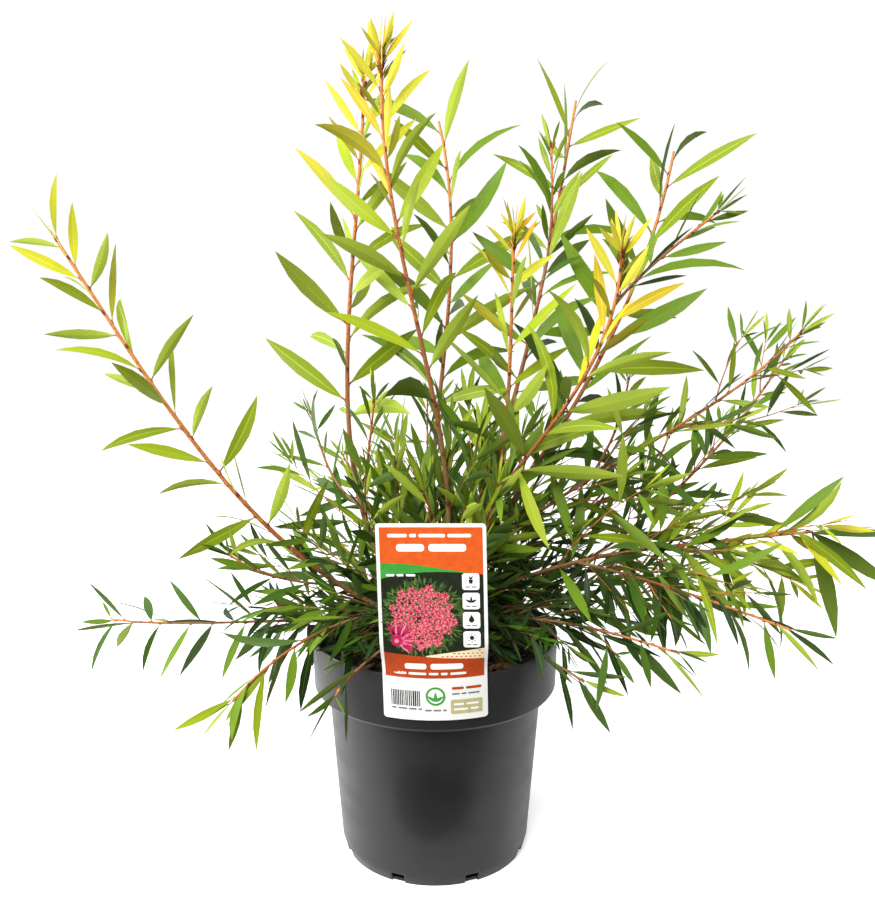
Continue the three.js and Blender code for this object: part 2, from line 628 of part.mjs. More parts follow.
function massMesh(shoot, shoots) {
  const stem = stemOfShoot(shoot);
  const start = shoot.parent ? 0 : Math.max(shoot.bough, shoot.stub) + CLEARANCE / shoot.length;
  const solids = [solidOf(shootLimb(shoot, start, 1, STEM.sides, STEM.step, 0, STEM.fatter))];
  const keep = (samples) => keepsToSpace(samples, shoot, shoots);
  const leaves = leavesOfStem(stem, keep);
  for (const twig of twigsOfStem(stem)) {
    if (!keep(twigSamples(twig))) continue;
    solids.push(solidOf(twigGeometry(twig)));
    leaves.push(...leavesOfStem(twig, keep));
  }
  leaves.forEach((leaf) => solids.push(solidOf(leafGeometry(leaf))));
  const fused = wasm.Manifold.union(solids);
  const cleared = shoot.parent ? clearOfParent(fused, shoot) : fused;
  return namedMesh(`foliage_${shoot.name}`, geometryOf(mainPiece(cleared)), LEAF_GREEN);
}

// ---- The whole plant ----

const plant = new THREE.Group();
const shoots = grownShoots();
plant.add(potMesh(), soilMesh(), cardMesh(), clipMesh(), trunkMesh(shoots));
for (const shoot of shoots.values()) {
  if (shoot.bough) plant.add(boughMesh(shoot));
  plant.add(massMesh(shoot, shoots));
}

export default plant;
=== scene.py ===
# %% [markdown]
# # A young bottlebrush in its nursery pot
# The solid model of the plant is a fixed frame: a pot, its compost, a label card, a clip, one short trunk,
# bare boughs and coarse masses of foliage. This script keeps every place and size from that frame and
# makes the surfaces that are seen: moulded plastic, printed card, bark, and each leaf as a thin folded
# blade. Lengths in the planting plan are millimetres, as a grower would write them, and MM turns them to
# metres.

# %% Load the frame
import json
import math
import bpy
import bmesh
import numpy as np
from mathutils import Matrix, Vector, noise

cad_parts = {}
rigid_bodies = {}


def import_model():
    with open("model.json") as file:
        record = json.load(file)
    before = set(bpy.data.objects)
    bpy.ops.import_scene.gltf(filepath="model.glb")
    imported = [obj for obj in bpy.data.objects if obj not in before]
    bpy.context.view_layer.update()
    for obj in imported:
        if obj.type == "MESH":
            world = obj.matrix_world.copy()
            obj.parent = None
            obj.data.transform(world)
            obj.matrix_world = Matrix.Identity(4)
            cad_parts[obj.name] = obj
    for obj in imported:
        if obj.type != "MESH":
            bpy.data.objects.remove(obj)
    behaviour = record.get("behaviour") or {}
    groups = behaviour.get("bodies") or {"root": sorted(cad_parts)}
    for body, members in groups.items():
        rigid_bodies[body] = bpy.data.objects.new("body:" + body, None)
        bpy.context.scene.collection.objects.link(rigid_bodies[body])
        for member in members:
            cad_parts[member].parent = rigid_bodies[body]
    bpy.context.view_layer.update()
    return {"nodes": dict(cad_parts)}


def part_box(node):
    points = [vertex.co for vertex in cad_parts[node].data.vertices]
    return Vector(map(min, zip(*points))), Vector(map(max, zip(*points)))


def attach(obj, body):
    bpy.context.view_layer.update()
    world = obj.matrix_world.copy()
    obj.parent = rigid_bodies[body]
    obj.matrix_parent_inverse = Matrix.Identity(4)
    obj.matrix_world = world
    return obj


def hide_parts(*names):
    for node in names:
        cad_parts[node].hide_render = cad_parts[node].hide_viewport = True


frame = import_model()
MM = 0.001
print("nodes in the frame:", len(frame["nodes"]))

# %% [markdown]
# ## Working in edit mode without a mouse
# A modeller selects by eye. A script selects by place, so these helpers pick vertices or faces with a
# small test, run one operator on them and go back to object mode. Everything else is first put out of the
# selection, because the frame's own pieces arrive selected. Steps that several pieces share are helpers
# too: starting from a bar, cutting it across, rounding its edges and turning its faces outwards.


# %% Select, edit and go back
NEAR = 1e-4


def only(piece):
    bpy.ops.object.select_all(action="DESELECT")
    piece.select_set(True)
    bpy.context.view_layer.objects.active = piece
    return piece


def edit(piece, select=None, faces=False):
    """Go to edit mode with the vertices or faces selected that pass the test, or with all of them."""
    only(piece)
    bpy.ops.object.mode_set(mode="EDIT")
    bpy.ops.mesh.select_mode(type="FACE" if faces else "VERT")
    bpy.ops.mesh.select_all(action="SELECT" if select is None else "DESELECT")
    if select is not None:
        work = bmesh.from_edit_mesh(piece.data)
        for item in work.faces if faces else work.verts:
            item.select_set(bool(select(item)))
        work.select_flush_mode()
        bmesh.update_edit_mesh(piece.data)


def done():
    bpy.ops.object.mode_set(mode="OBJECT")


print("places closer than", NEAR, "m count as one")


# %% Start a piece, cut it and round it
def bar(low, high):
    """A cube stretched between two corners, as a start."""
    low, high = Vector(low), Vector(high)
    bpy.ops.mesh.primitive_cube_add(size=1, location=(low + high) / 2)
    piece = bpy.context.object
    piece.scale = high - low
    bpy.ops.object.transform_apply(location=True, scale=True)
    return piece


def cut_across(piece, axis, places):
    """Cut a piece through at some places along an axis, so that it can bend there."""
    for at in places:
        co, no = [0, 0, 0], [0, 0, 0]
        co[axis], no[axis] = at, 1
        edit(piece)
        bpy.ops.mesh.bisect(plane_co=co, plane_no=no)
        done()


def face_outwards(piece):
    edit(piece)
    bpy.ops.mesh.normals_make_consistent(inside=False)
    done()


def finish_modifiers(piece):
    only(piece)
    for modifier in list(piece.modifiers):
        bpy.ops.object.modifier_apply(modifier=modifier.name)


def round_edges(piece, width, degrees):
    """Round the edges that turn by more than so many degrees."""
    rounding = piece.modifiers.new("rounding", "BEVEL")
    rounding.width = width
    rounding.segments = 2
    rounding.limit_method = "ANGLE"
    rounding.angle_limit = math.radians(degrees)
    finish_modifiers(piece)


def smooth(piece, degrees):
    only(piece)
    bpy.ops.object.shade_smooth_by_angle(angle=math.radians(degrees))


def triangles(piece):
    return sum(len(face.vertices) - 2 for face in piece.data.polygons)


solids = [piece for piece in bpy.data.objects if piece.type == "MESH"]
print("the coarse solids have", sum(triangles(piece) for piece in solids), "triangles")


# %% Name a piece and give it its place
def settle(piece, name):
    """Give the piece its name and move its place into its mesh."""
    only(piece)
    bpy.ops.object.transform_apply(location=True, rotation=True, scale=True)
    piece.name = name
    piece.data.name = name
    return piece


def join(name, pieces):
    only(pieces[0])
    for piece in pieces:
        piece.select_set(True)
    bpy.ops.object.join()
    return settle(bpy.context.object, name)


def place_on_root(piece, slot, *nodes):
    """The plant has no joints, so every piece rides on the root. It may stand for solids of the frame."""
    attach(piece, "root")
    if nodes:
        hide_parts(*nodes)
    print(f"{piece.name}: {triangles(piece)} triangles, slot {slot}, stands for {len(nodes)} nodes")


# %% [markdown]
# ## Finishes from nodes
# Every finish is one Principled shader. Its fine grain comes from noise in Object coordinates, which stay
# with the piece wherever it is turned. A picture could carry the grain, but it is one file more and blurs
# close up. A value that is the same all over is typed on the shader's own socket.


# %% Helpers for finishes
def finish(name, colour, roughness, **sockets):
    """A material with a plain base colour, and its tree, shader and coordinates for more nodes."""
    material = bpy.data.materials.new(name)
    material.use_nodes = True
    tree = material.node_tree
    shader = tree.nodes["Principled BSDF"]
    shader.inputs["Base Color"].default_value = (*colour, 1)
    shader.inputs["Roughness"].default_value = roughness
    for socket, value in sockets.items():
        shader.inputs[socket.replace("_", " ")].default_value = value
    coordinates = tree.nodes.new("ShaderNodeTexCoord")
    return material, tree, shader, coordinates.outputs["Object"]


def lerp(low, high, share):
    return low + (high - low) * share


def srgb(red, green, blue):
    """A colour typed as on a screen, from 0 to 255, turned to the linear values that shaders take."""
    shares = [value / 255 for value in (red, green, blue)]
    return tuple(s / 12.92 if s <= 0.04045 else ((s + 0.055) / 1.055) ** 2.4 for s in shares)


def grain(tree, place, scale, detail=3.0, stretch=(1, 1, 1)):
    """Noise of one scale, in marks per metre, stretched along an axis where the grain runs."""
    mapping = tree.nodes.new("ShaderNodeMapping")
    mapping.inputs["Scale"].default_value = stretch
    pattern = tree.nodes.new("ShaderNodeTexNoise")
    pattern.inputs["Scale"].default_value = scale
    pattern.inputs["Detail"].default_value = detail
    tree.links.new(place, mapping.inputs["Vector"])
    tree.links.new(mapping.outputs["Vector"], pattern.inputs["Vector"])
    return pattern.outputs["Fac"]


def gloss_between(tree, shader, value, low, high, start=0.3, stop=0.7):
    """Let a pattern make the finish now smoother, now rougher, from low to high."""
    node = tree.nodes.new("ShaderNodeMapRange")
    for socket, limit in (("From Min", start), ("From Max", stop), ("To Min", low), ("To Max", high)):
        node.inputs[socket].default_value = limit
    tree.links.new(value, node.inputs["Value"])
    tree.links.new(node.outputs["Result"], shader.inputs["Roughness"])


def colour_between(tree, shader, value, low, high, start=0.35, stop=0.65):
    """Let a pattern mix two colours over the surface."""
    ramp = tree.nodes.new("ShaderNodeValToRGB")
    for stage, position, colour in zip(ramp.color_ramp.elements, (start, stop), (low, high)):
        stage.position = position
        stage.color = (*colour, 1)
    tree.links.new(value, ramp.inputs["Fac"])
    tree.links.new(ramp.outputs["Color"], shader.inputs["Base Color"])


def relief(tree, shader, value, depth, strength):
    bump = tree.nodes.new("ShaderNodeBump")
    bump.inputs["Strength"].default_value = strength
    bump.inputs["Distance"].default_value = depth
    tree.links.new(value, bump.inputs["Height"])
    tree.links.new(bump.outputs["Normal"], shader.inputs["Normal"])


print("a screen grey of 128 is", round(srgb(128, 128, 128)[0], 3), "to a shader")

# %% [markdown]
# ## Camera, light and floor
# The plant is seen from a little above the rim, as on a bench at arm's length. It could stand in an even
# white room, but then the round pot would look flat. So the light is a white tent that is open in front
# and to the right: what is behind and beside the plant is near white, and the open front is dark, which
# keeps the middle of the pot dark between its pale edges. One large soft lamp hangs overhead, a second one
# stands at the left, where the pot has its broadest sheen, and a weak one behind on the right. The floor
# is a lit acrylic sheet: it looks white without throwing much light back at the undersides of the leaves.

# %% Camera
EYE = {"back": 850 * MM, "height": 505 * MM, "down": 11.3, "lens": 43.6, "sensor": 36, "shift": 0.0028}

bpy.ops.object.camera_add(location=(0, -EYE["back"], EYE["height"]))
camera = bpy.context.object
camera.name = "camera"
camera.rotation_euler = (math.radians(90 - EYE["down"]), 0, 0)
camera.data.lens = EYE["lens"]
camera.data.sensor_width = EYE["sensor"]
camera.data.shift_x = EYE["shift"]
camera.data.clip_start = 20 * MM
bpy.context.scene.camera = camera
print("camera at", tuple(round(v, 3) for v in camera.location))

# %% The tent
# white and open_front: how bright its wall and its opening are. seen: how bright the camera sees it behind
# the plant. turned: how far the opening faces to the right. The two edges are where the wall fades.
TENT = {"white": 0.92, "open_front": 0.27, "seen": 1.03, "turned": 44, "front_edge": -0.4, "side_edge": 0.3}

world = bpy.data.worlds.new("white_tent")
world.use_nodes = True
tree = world.node_tree
sky = tree.nodes["Background"]
sky.inputs["Color"].default_value = (1, 1, 1, 1)
towards = tree.nodes.new("ShaderNodeTexCoord")
facing = tree.nodes.new("ShaderNodeVectorMath")
facing.operation = "DOT_PRODUCT"
turned = math.radians(TENT["turned"])
facing.inputs[1].default_value = (-math.sin(turned), math.cos(turned), 0)
tree.links.new(towards.outputs["Generated"], facing.inputs[0])
tent = tree.nodes.new("ShaderNodeMapRange")
tent.interpolation_type = "SMOOTHSTEP"
for socket, value in zip(("From Min", "From Max", "To Min", "To Max"),
                         ("front_edge", "side_edge", "open_front", "white")):
    tent.inputs[socket].default_value = TENT[value]
tree.links.new(facing.outputs["Value"], tent.inputs["Value"])
path = tree.nodes.new("ShaderNodeLightPath")
backdrop = tree.nodes.new("ShaderNodeMix")
tree.links.new(path.outputs["Is Camera Ray"], backdrop.inputs["Factor"])
tree.links.new(tent.outputs["Result"], backdrop.inputs["A"])
backdrop.inputs["B"].default_value = TENT["seen"]
tree.links.new(backdrop.outputs["Result"], sky.inputs["Strength"])
bpy.context.scene.world = world
bpy.context.scene.view_settings.view_transform = "Standard"
print("the tent is open", TENT["turned"], "degrees to the right")

# %% Lamps
LAMPS = {
    "overhead": {"at": (-0.4, -1.2, 1.6), "aim": (0, 0, 0.3), "size": 1.1, "watts": 52},
    "left": {"at": (-1.5, 0.1, 0.45), "aim": (0, 0, 0.15), "size": 0.7, "watts": 24},
    "right_back": {"at": (1.3, 1.1, 0.5), "aim": (0, 0, 0.15), "size": 0.7, "watts": 4},
}

for name, lamp in LAMPS.items():
    bpy.ops.object.light_add(type="AREA", location=lamp["at"])
    light = bpy.context.object
    light.name = f"lamp_{name}"
    light.data.size = lamp["size"]
    light.data.energy = lamp["watts"]
    aim = Vector(lamp["aim"]) - Vector(lamp["at"])
    light.rotation_euler = aim.to_track_quat("-Z", "Y").to_euler()
    light.visible_camera = False
    print("lamp", name, lamp["watts"], "W")

# %% Floor
FLOOR = {"radius": 1.5, "before_pot": 0.115, "drop": 0.4 * MM, "glow": 0.4, "sides": 96}

middle = (0, FLOOR["radius"] - FLOOR["before_pot"], -FLOOR["drop"])
bpy.ops.mesh.primitive_circle_add(
    vertices=FLOOR["sides"], radius=FLOOR["radius"], fill_type="NGON", location=middle)
floor = settle(bpy.context.object, "floor")
floor_paper, tree, shader, place = finish("floor_paper", (0.97, 0.97, 0.97), 0.85)
relief(tree, shader, grain(tree, place, 900), depth=0.1 * MM, strength=0.15)
glow = tree.nodes.new("ShaderNodeMath")
glow.operation = "MULTIPLY"
glow.inputs[1].default_value = FLOOR["glow"]
tree.links.new(tree.nodes.new("ShaderNodeLightPath").outputs["Is Camera Ray"], glow.inputs[0])
tree.links.new(glow.outputs["Value"], shader.inputs["Emission Strength"])
shader.inputs["Emission Color"].default_value = (1, 1, 1, 1)
floor.data.materials.append(floor_paper)
print("floor", FLOOR["radius"], "m to its edge")

# %% [markdown]
# ## The pot
# A nursery pot is one injection moulding: a tapering wall, a wide band under a thin lip, and drain notches
# through its heel. It could be spun from a profile. Here it is raised as by hand, ring after ring: the rim
# of a disc is extruded and scaled to each radius, up the outside, over the lip and down the inside. The
# notches are then cut with a Boolean, and a bevel rounds the edges, because no moulding has a sharp one.

# %% Sizes of the pot
_, pot_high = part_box("pot")
RIM = pot_high.x
RIM_HEIGHT = pot_high.z
BAND = 43 * MM
BAND_FOOT = RIM_HEIGHT - BAND
BAND_RADIUS = 99.2 * MM
WALL = 1.6 * MM
LEDGE = 1.5 * MM
LIP = 0.8 * MM
BODY_RADIUS = 87.5 * MM
HEEL = {"radius": 78 * MM, "height": 10 * MM}
BASE_RADIUS = 75 * MM
POT_FLOOR = 2.5 * MM
DRAIN = {"count": 8, "width": 11 * MM, "height": 8 * MM, "reach": 10 * MM}
POT_SIDES = 128
POT_PROFILE = [
    (HEEL["radius"], HEEL["height"]),
    (BODY_RADIUS, BAND_FOOT - LEDGE),
    (BAND_RADIUS - LEDGE, BAND_FOOT - LEDGE / 2),
    (BAND_RADIUS, BAND_FOOT + LEDGE),
    (RIM, RIM_HEIGHT - LIP),
    (RIM - LIP / 2, RIM_HEIGHT),
    (RIM - WALL + LIP / 2, RIM_HEIGHT),
    (RIM - WALL, RIM_HEIGHT - LIP),
    (BAND_RADIUS - WALL, BAND_FOOT + LEDGE + WALL),
    (BODY_RADIUS - WALL, BAND_FOOT + WALL),
    (HEEL["radius"] - WALL, HEEL["height"]),
    (BASE_RADIUS - WALL, POT_FLOOR),
]
print(f"pot {2 * RIM:.3f} m across the rim and {RIM_HEIGHT:.3f} m tall")


# %% Raise the pot ring by ring
def raise_rings(start, rings, sides):
    """Start with a disc of one radius and height, extrude its rim through the rings and close the last."""
    radius, height = start
    bpy.ops.mesh.primitive_circle_add(vertices=sides, radius=radius, location=(0, 0, height))
    piece = bpy.context.object
    bpy.ops.object.transform_apply(location=True)
    edit(piece)
    bpy.ops.mesh.edge_face_add()
    bpy.ops.mesh.flip_normals()
    for next_radius, next_height in rings:
        bpy.ops.mesh.extrude_edges_move(TRANSFORM_OT_translate={"value": (0, 0, next_height - height)})
        share = next_radius / radius
        bpy.ops.transform.resize(value=(share, share, 1), center_override=(0, 0, next_height))
        radius, height = next_radius, next_height
    bpy.ops.mesh.edge_face_add()
    bpy.ops.mesh.select_all(action="SELECT")
    bpy.ops.mesh.normals_make_consistent(inside=False)
    done()
    return piece


pot = raise_rings((BASE_RADIUS, 0), POT_PROFILE, POT_SIDES)
print("pot raised from", len(POT_PROFILE) + 1, "rings")

# %% Cut the drain notches and round the edges
cutters = []
for i in range(DRAIN["count"]):
    turn = (i + 0.5) * 2 * math.pi / DRAIN["count"]
    at = (HEEL["radius"] * math.cos(turn), HEEL["radius"] * math.sin(turn), 0)
    bpy.ops.mesh.primitive_cube_add(size=1, location=at, rotation=(0, 0, turn))
    cutter = bpy.context.object
    cutter.scale = (DRAIN["reach"], DRAIN["width"], 2 * DRAIN["height"])
    cutters.append(cutter)
notch_cutter = join("notch_cutter", cutters)
notches = pot.modifiers.new("notches", "BOOLEAN")
notches.object = notch_cutter
notches.solver = "EXACT"
finish_modifiers(pot)
bpy.data.objects.remove(notch_cutter)
round_edges(pot, 0.5 * MM, 25)
smooth(pot, 35)
settle(pot, "pot_shell")
print("pot has", DRAIN["count"], "notches and", triangles(pot), "triangles")

# %% [markdown]
# The plastic is charcoal grey with a satin sheen. Handling leaves faint scuffs that run round the wall,
# and a darker patch in the middle of its front is a painted dark reflection. Both could be painted by
# hand. The scuffs are noise stretched round the pot, and they only change how rough the surface is. The
# painted reflection is the distance from one place on the wall, made ragged by noise, so it needs no
# picture and stays where it is when the pot is moved.

# %% Moulded plastic
POT_GREY = srgb(38, 38, 38)
# The darker grey and its ragged patch on the front of the wall are a painted dark reflection.
REFLECTION_GREY = srgb(25, 25, 25)
FRONT_REFLECTION = {"centre": (2 * MM, -85 * MM, 72 * MM), "inner": 27 * MM, "outer": 40 * MM, "wander": 40 * MM}

pot_plastic, tree, shader, place = finish("pot_plastic", POT_GREY, 0.35, Specular_IOR_Level=0.3)
scuffs = grain(tree, place, 24, detail=4, stretch=(1, 1, 2.5))
gloss_between(tree, shader, scuffs, 0.3, 0.4)
# The painted dark reflection: a ragged patch round one place on the front of the wall.
from_reflection = tree.nodes.new("ShaderNodeVectorMath")
from_reflection.operation = "DISTANCE"
from_reflection.inputs[1].default_value = FRONT_REFLECTION["centre"]
tree.links.new(place, from_reflection.inputs[0])
ragged = tree.nodes.new("ShaderNodeMath")
ragged.operation = "MULTIPLY_ADD"
ragged.inputs[1].default_value = FRONT_REFLECTION["wander"]
tree.links.new(grain(tree, place, 30, detail=2), ragged.inputs[0])
tree.links.new(from_reflection.outputs["Value"], ragged.inputs[2])
reflection_edge = [FRONT_REFLECTION[edge] + FRONT_REFLECTION["wander"] / 2 for edge in ("inner", "outer")]
colour_between(tree, shader, ragged.outputs["Value"], REFLECTION_GREY, POT_GREY, *reflection_edge)
relief(tree, shader, grain(tree, place, 700, detail=2), depth=0.2 * MM, strength=0.35)
pot.data.materials.append(pot_plastic)
place_on_root(pot, "pot_plastic", "pot")

# %% [markdown]
# ## The compost
# Under the leaves lies a dark mix of composted bark, a finger's breadth below the rim. A displacement
# modifier could roughen it. Here its surface is a disc of many rings that a function of the place lifts,
# because the same function then sets the loose bark chips and the dropped leaves down on it.

# %% The compost's surface
SOIL_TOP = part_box("soil")[1].z
SOIL_EDGE = SOIL_TOP - 2 * MM
SOIL_RADIUS = RIM - WALL - 0.7 * MM
SOIL_RINGS = 26
SOIL_PLUG = 14 * MM
LUMP = {"height": 2.4 * MM, "per_metre": 70, "fine": 1.1 * MM, "fine_per_metre": 330, "sunk": 0.5 * MM}


def ground(x, y):
    """Height of the compost at a place."""
    out = min(1, math.hypot(x, y) / SOIL_RADIUS)
    coarse = noise.noise(Vector((x, y, 0.3)) * LUMP["per_metre"])
    fine = noise.noise(Vector((x, y, 0.7)) * LUMP["fine_per_metre"])
    level = lerp(SOIL_TOP, SOIL_EDGE, out)
    return level + LUMP["height"] * coarse + LUMP["fine"] * fine - LUMP["sunk"]


inner = [(SOIL_RADIUS * (1 - i / SOIL_RINGS), SOIL_EDGE) for i in range(SOIL_RINGS)]
soil = raise_rings((SOIL_RADIUS - MM, SOIL_EDGE - SOIL_PLUG), inner, 112)
for vertex in soil.data.vertices:
    if vertex.co.z > SOIL_EDGE - SOIL_PLUG / 2:
        vertex.co.z = ground(vertex.co.x, vertex.co.y)
smooth(soil, 60)
settle(soil, "compost")
print("compost surface at", round(SOIL_TOP, 4), "m")

# %% Helpers for many small things
def joined(name, corners, faces, tones, materials):
    """One mesh from arrays: corners (n, 3), faces as tuples, the material of each face."""
    mesh = bpy.data.meshes.new(name)
    mesh.vertices.add(len(corners))
    mesh.vertices.foreach_set("co", np.asarray(corners, np.float32).ravel())
    sizes = np.array([len(face) for face in faces])
    loops = np.concatenate([np.array(face) for face in faces]).astype(np.int32)
    mesh.loops.add(len(loops))
    mesh.loops.foreach_set("vertex_index", loops)
    mesh.polygons.add(len(faces))
    mesh.polygons.foreach_set("loop_start", (np.cumsum(sizes) - sizes).astype(np.int32))
    for material in materials:
        mesh.materials.append(material)
    mesh.polygons.foreach_set("material_index", np.asarray(tones, np.int32))
    mesh.update(calc_edges=True)
    mesh.validate()
    piece = bpy.data.objects.new(name, mesh)
    bpy.context.scene.collection.objects.link(piece)
    return piece


def as_shape(piece):
    """The corners and faces of a modelled shape that will be copied many times. The shape itself goes."""
    corners = np.array([v.co for v in piece.data.vertices])
    faces = [tuple(face.vertices) for face in piece.data.polygons]
    bpy.data.objects.remove(piece)
    return corners, faces


def copies(name, shape, corners, tones, materials, degrees):
    """One smooth piece of many copies of a shape, from all their corners and the material of each face."""
    each = len(shape[0])
    corners = np.reshape(corners, (-1, 3))
    faces = [tuple(c + start for c in face) for start in range(0, len(corners), each) for face in shape[1]]
    piece = joined(name, corners, faces, tones, materials)
    smooth(piece, degrees)
    return piece


def turned_frames(angles):
    """Turns by three angles each, as (n, 3, 3) matrices."""
    a, b, c = np.transpose(angles)
    one, nil = np.ones_like(a), np.zeros_like(a)
    about_z = np.array([[np.cos(a), -np.sin(a), nil], [np.sin(a), np.cos(a), nil], [nil, nil, one]])
    about_y = np.array([[np.cos(b), nil, np.sin(b)], [nil, one, nil], [-np.sin(b), nil, np.cos(b)]])
    about_x = np.array([[one, nil, nil], [nil, np.cos(c), -np.sin(c)], [nil, np.sin(c), np.cos(c)]])
    return np.einsum("ijn,jkn,kln->nil", about_z, about_y, about_x)


print("with no turn the axes stay:", turned_frames([(0, 0, 0)])[0].diagonal())


# %% Model one bark chip
CHIPS = {"count": 1100, "length": (3, 9), "width": (1.6, 4.2), "thickness": (0.8, 2.2), "seed": 5}
CHIP_TONES = {
    "black": (srgb(24, 19, 15), 0.55),
    "brown": (srgb(38, 29, 22), 0.33),
    "tan": (srgb(68, 51, 36), 0.12),
}

bpy.ops.mesh.primitive_cube_add(size=1)
chip = bpy.context.object
edit(chip)
bpy.ops.mesh.subdivide(number_cuts=1)
bpy.ops.transform.tosphere(value=0.45)
done()
edit(chip, lambda v: v.co.x > 0.3)
bpy.ops.transform.resize(value=(1, 0.55, 0.7), center_override=(0.4, 0.05, 0))
done()
CHIP = as_shape(chip)
print("one chip has", len(CHIP[1]), "faces")

# %% Scatter the chips
luck = np.random.default_rng(CHIPS["seed"])
count = CHIPS["count"]
out = (SOIL_RADIUS - 3 * MM) * np.sqrt(luck.uniform(0, 1, count))
around = luck.uniform(0, 2 * np.pi, count)
at_x, at_y = out * np.cos(around), out * np.sin(around)
sizes = np.stack([luck.uniform(*CHIPS[side], count) * MM for side in ("length", "width", "thickness")], 1)
tilt = 0.35
turns = turned_frames(np.stack([luck.uniform(0, 6.28, count), *luck.uniform(-tilt, tilt, (2, count))], 1))
centres = np.stack([at_x, at_y, [ground(x, y) for x, y in zip(at_x, at_y)] + sizes[:, 2] / 4], 1)
corners = centres[:, None] + np.einsum("nij,npj->npi", turns, CHIP[0][None] * sizes[:, None])
shares = [share for _, share in CHIP_TONES.values()]
chip_tone = np.repeat(luck.choice(len(CHIP_TONES), count, p=shares), len(CHIP[1]))
chip_finishes = []
for name, (colour, _) in CHIP_TONES.items():
    material, tree, shader, place = finish(f"bark_chip_{name}", colour, 0.85)
    fibres = grain(tree, place, 700, detail=4, stretch=(1, 4, 1))
    colour_between(tree, shader, fibres, tuple(0.5 * c for c in colour), colour)
    relief(tree, shader, fibres, depth=0.4 * MM, strength=0.6)
    chip_finishes.append(material)
chips = copies("bark_chips", CHIP, corners, chip_tone, chip_finishes, 30)
print("chips:", count)

# %% Finish the compost
SOIL_DARK = srgb(17, 14, 11)
SOIL_BROWN = srgb(42, 32, 24)

compost_earth, tree, shader, place = finish("compost_earth", SOIL_DARK, 0.95)
crumbs = grain(tree, place, 420, detail=6)
colour_between(tree, shader, crumbs, SOIL_DARK, SOIL_BROWN)
relief(tree, shader, crumbs, depth=1.5 * MM, strength=0.9)
soil.data.materials.append(compost_earth)
place_on_root(soil, "soil", "soil")
place_on_root(chips, "soil")

# %% [markdown]
# ## The label card
# A stiff plastic card hangs over the rim by a tongue. It is die cut from sheet: a thin bar with round
# corners, cut across into fine rows and columns, and then bent, because the card is flat at the top and
# hugs the pot's wall at the foot. What is printed on it could be an image, but an image is one file more
# and blurs close up. Here each patch of ink is a plate thinner than a hair, laid out in flat card
# coordinates and bent the same way. The print is a plain design of its own, with bars where a real card
# has words.

# %% Places on the card
# over_band: how far its foot hangs below the band's. It is flat above flat_over and round below flat_from.
CARD = {
    "width": 79, "height": 150, "thickness": 0.9, "lean": 1.6,
    "over_band": 33, "flat_from": 2, "flat_over": 30,
}
CARD_GAP = 0.3
CARD_BACK = RIM / MM + CARD_GAP
INK = {"proud": 0.05, "layer": 0.02, "row": 0.6, "column": 3.0, "plates": 3500}


def bent(u, v, out):
    """From a place on the flat sheet, in millimetres from its middle and its foot, to one in space."""
    over_rim = v - CARD["over_band"]
    across = u - math.tan(math.radians(CARD["lean"])) * over_rim
    wall = CARD_BACK + CARD["thickness"] / 2
    share = np.clip((over_rim - CARD["flat_from"]) / (CARD["flat_over"] - CARD["flat_from"]), 0, 1)
    flat = share * share * (3 - 2 * share)
    x = lerp(out * np.sin(across / wall), across, flat)
    y = lerp(-out * np.cos(across / wall), -out, flat)
    return np.stack([x, y, v + RIM_HEIGHT / MM - CARD["over_band"]], -1) * MM


def card_point(u, v, layer):
    return bent(u, v, CARD_BACK + CARD["thickness"] + INK["proud"] + layer * INK["layer"])


print("card", CARD["width"], "x", CARD["height"], "mm, its back", round(CARD_BACK, 1), "mm from the middle")

# %% Cut and bend the sheet
SHEET = {"rows": 60, "columns": 26, "corner": 2.5}


def evenly(width, parts):
    """The places that cut a width about its middle into equal parts."""
    return np.linspace(-0.5, 0.5, parts + 1)[1:-1] * width


card_half = Vector((CARD["width"], CARD["thickness"], CARD["height"])) / 2
sheet = bar(-card_half, card_half)
edit(sheet, lambda v: False)
work = bmesh.from_edit_mesh(sheet.data)
for side in work.edges:
    one, two = (corner.co for corner in side.verts)
    side.select_set(abs(one.x - two.x) + abs(one.z - two.z) < NEAR)
bmesh.update_edit_mesh(sheet.data)
bpy.ops.mesh.select_mode(type="EDGE")
bpy.ops.mesh.bevel(offset=SHEET["corner"], segments=5)
done()
cut_across(sheet, 2, evenly(CARD["height"], SHEET["rows"]))
cut_across(sheet, 0, evenly(CARD["width"], SHEET["columns"]))
for vertex in sheet.data.vertices:
    u, deep, v = vertex.co
    vertex.co = bent(u, v + CARD["height"] / 2, CARD_BACK + CARD["thickness"] / 2 - deep)
print("sheet cut into", len(sheet.data.polygons), "faces")

# %% Fold the tongue
TONGUE = {"width": 30, "depth": 16, "set_in": 2.6, "columns": 8}
tongue_in = (RIM - WALL) / MM - TONGUE["set_in"]
tongue_out = tongue_in + CARD["thickness"]
bridge_foot = RIM_HEIGHT / MM + CARD_GAP
bridge_end = CARD_BACK + CARD["thickness"] / 2

tongue = bar(
    (-TONGUE["width"] / 2, tongue_in, bridge_foot),
    (TONGUE["width"] / 2, bridge_end, bridge_foot + CARD["thickness"]))
cut_across(tongue, 1, [tongue_out])
edit(tongue, lambda f: f.normal.z < -0.9 and f.calc_center_median().y < tongue_out, faces=True)
down = TONGUE["depth"] + CARD_GAP
bpy.ops.mesh.extrude_region_move(TRANSFORM_OT_translate={"value": (0, 0, -down)})
done()
cut_across(tongue, 0, evenly(TONGUE["width"], TONGUE["columns"]))
for vertex in tongue.data.vertices:
    u, out, height = vertex.co
    turn = u * MM / RIM
    vertex.co = Vector((out * math.sin(turn), -out * math.cos(turn), height)) * MM
face_outwards(tongue)
card = join("card_sheet", [sheet, tongue])
face_outwards(card)
smooth(card, 30)
print("card with its tongue:", triangles(card), "triangles")

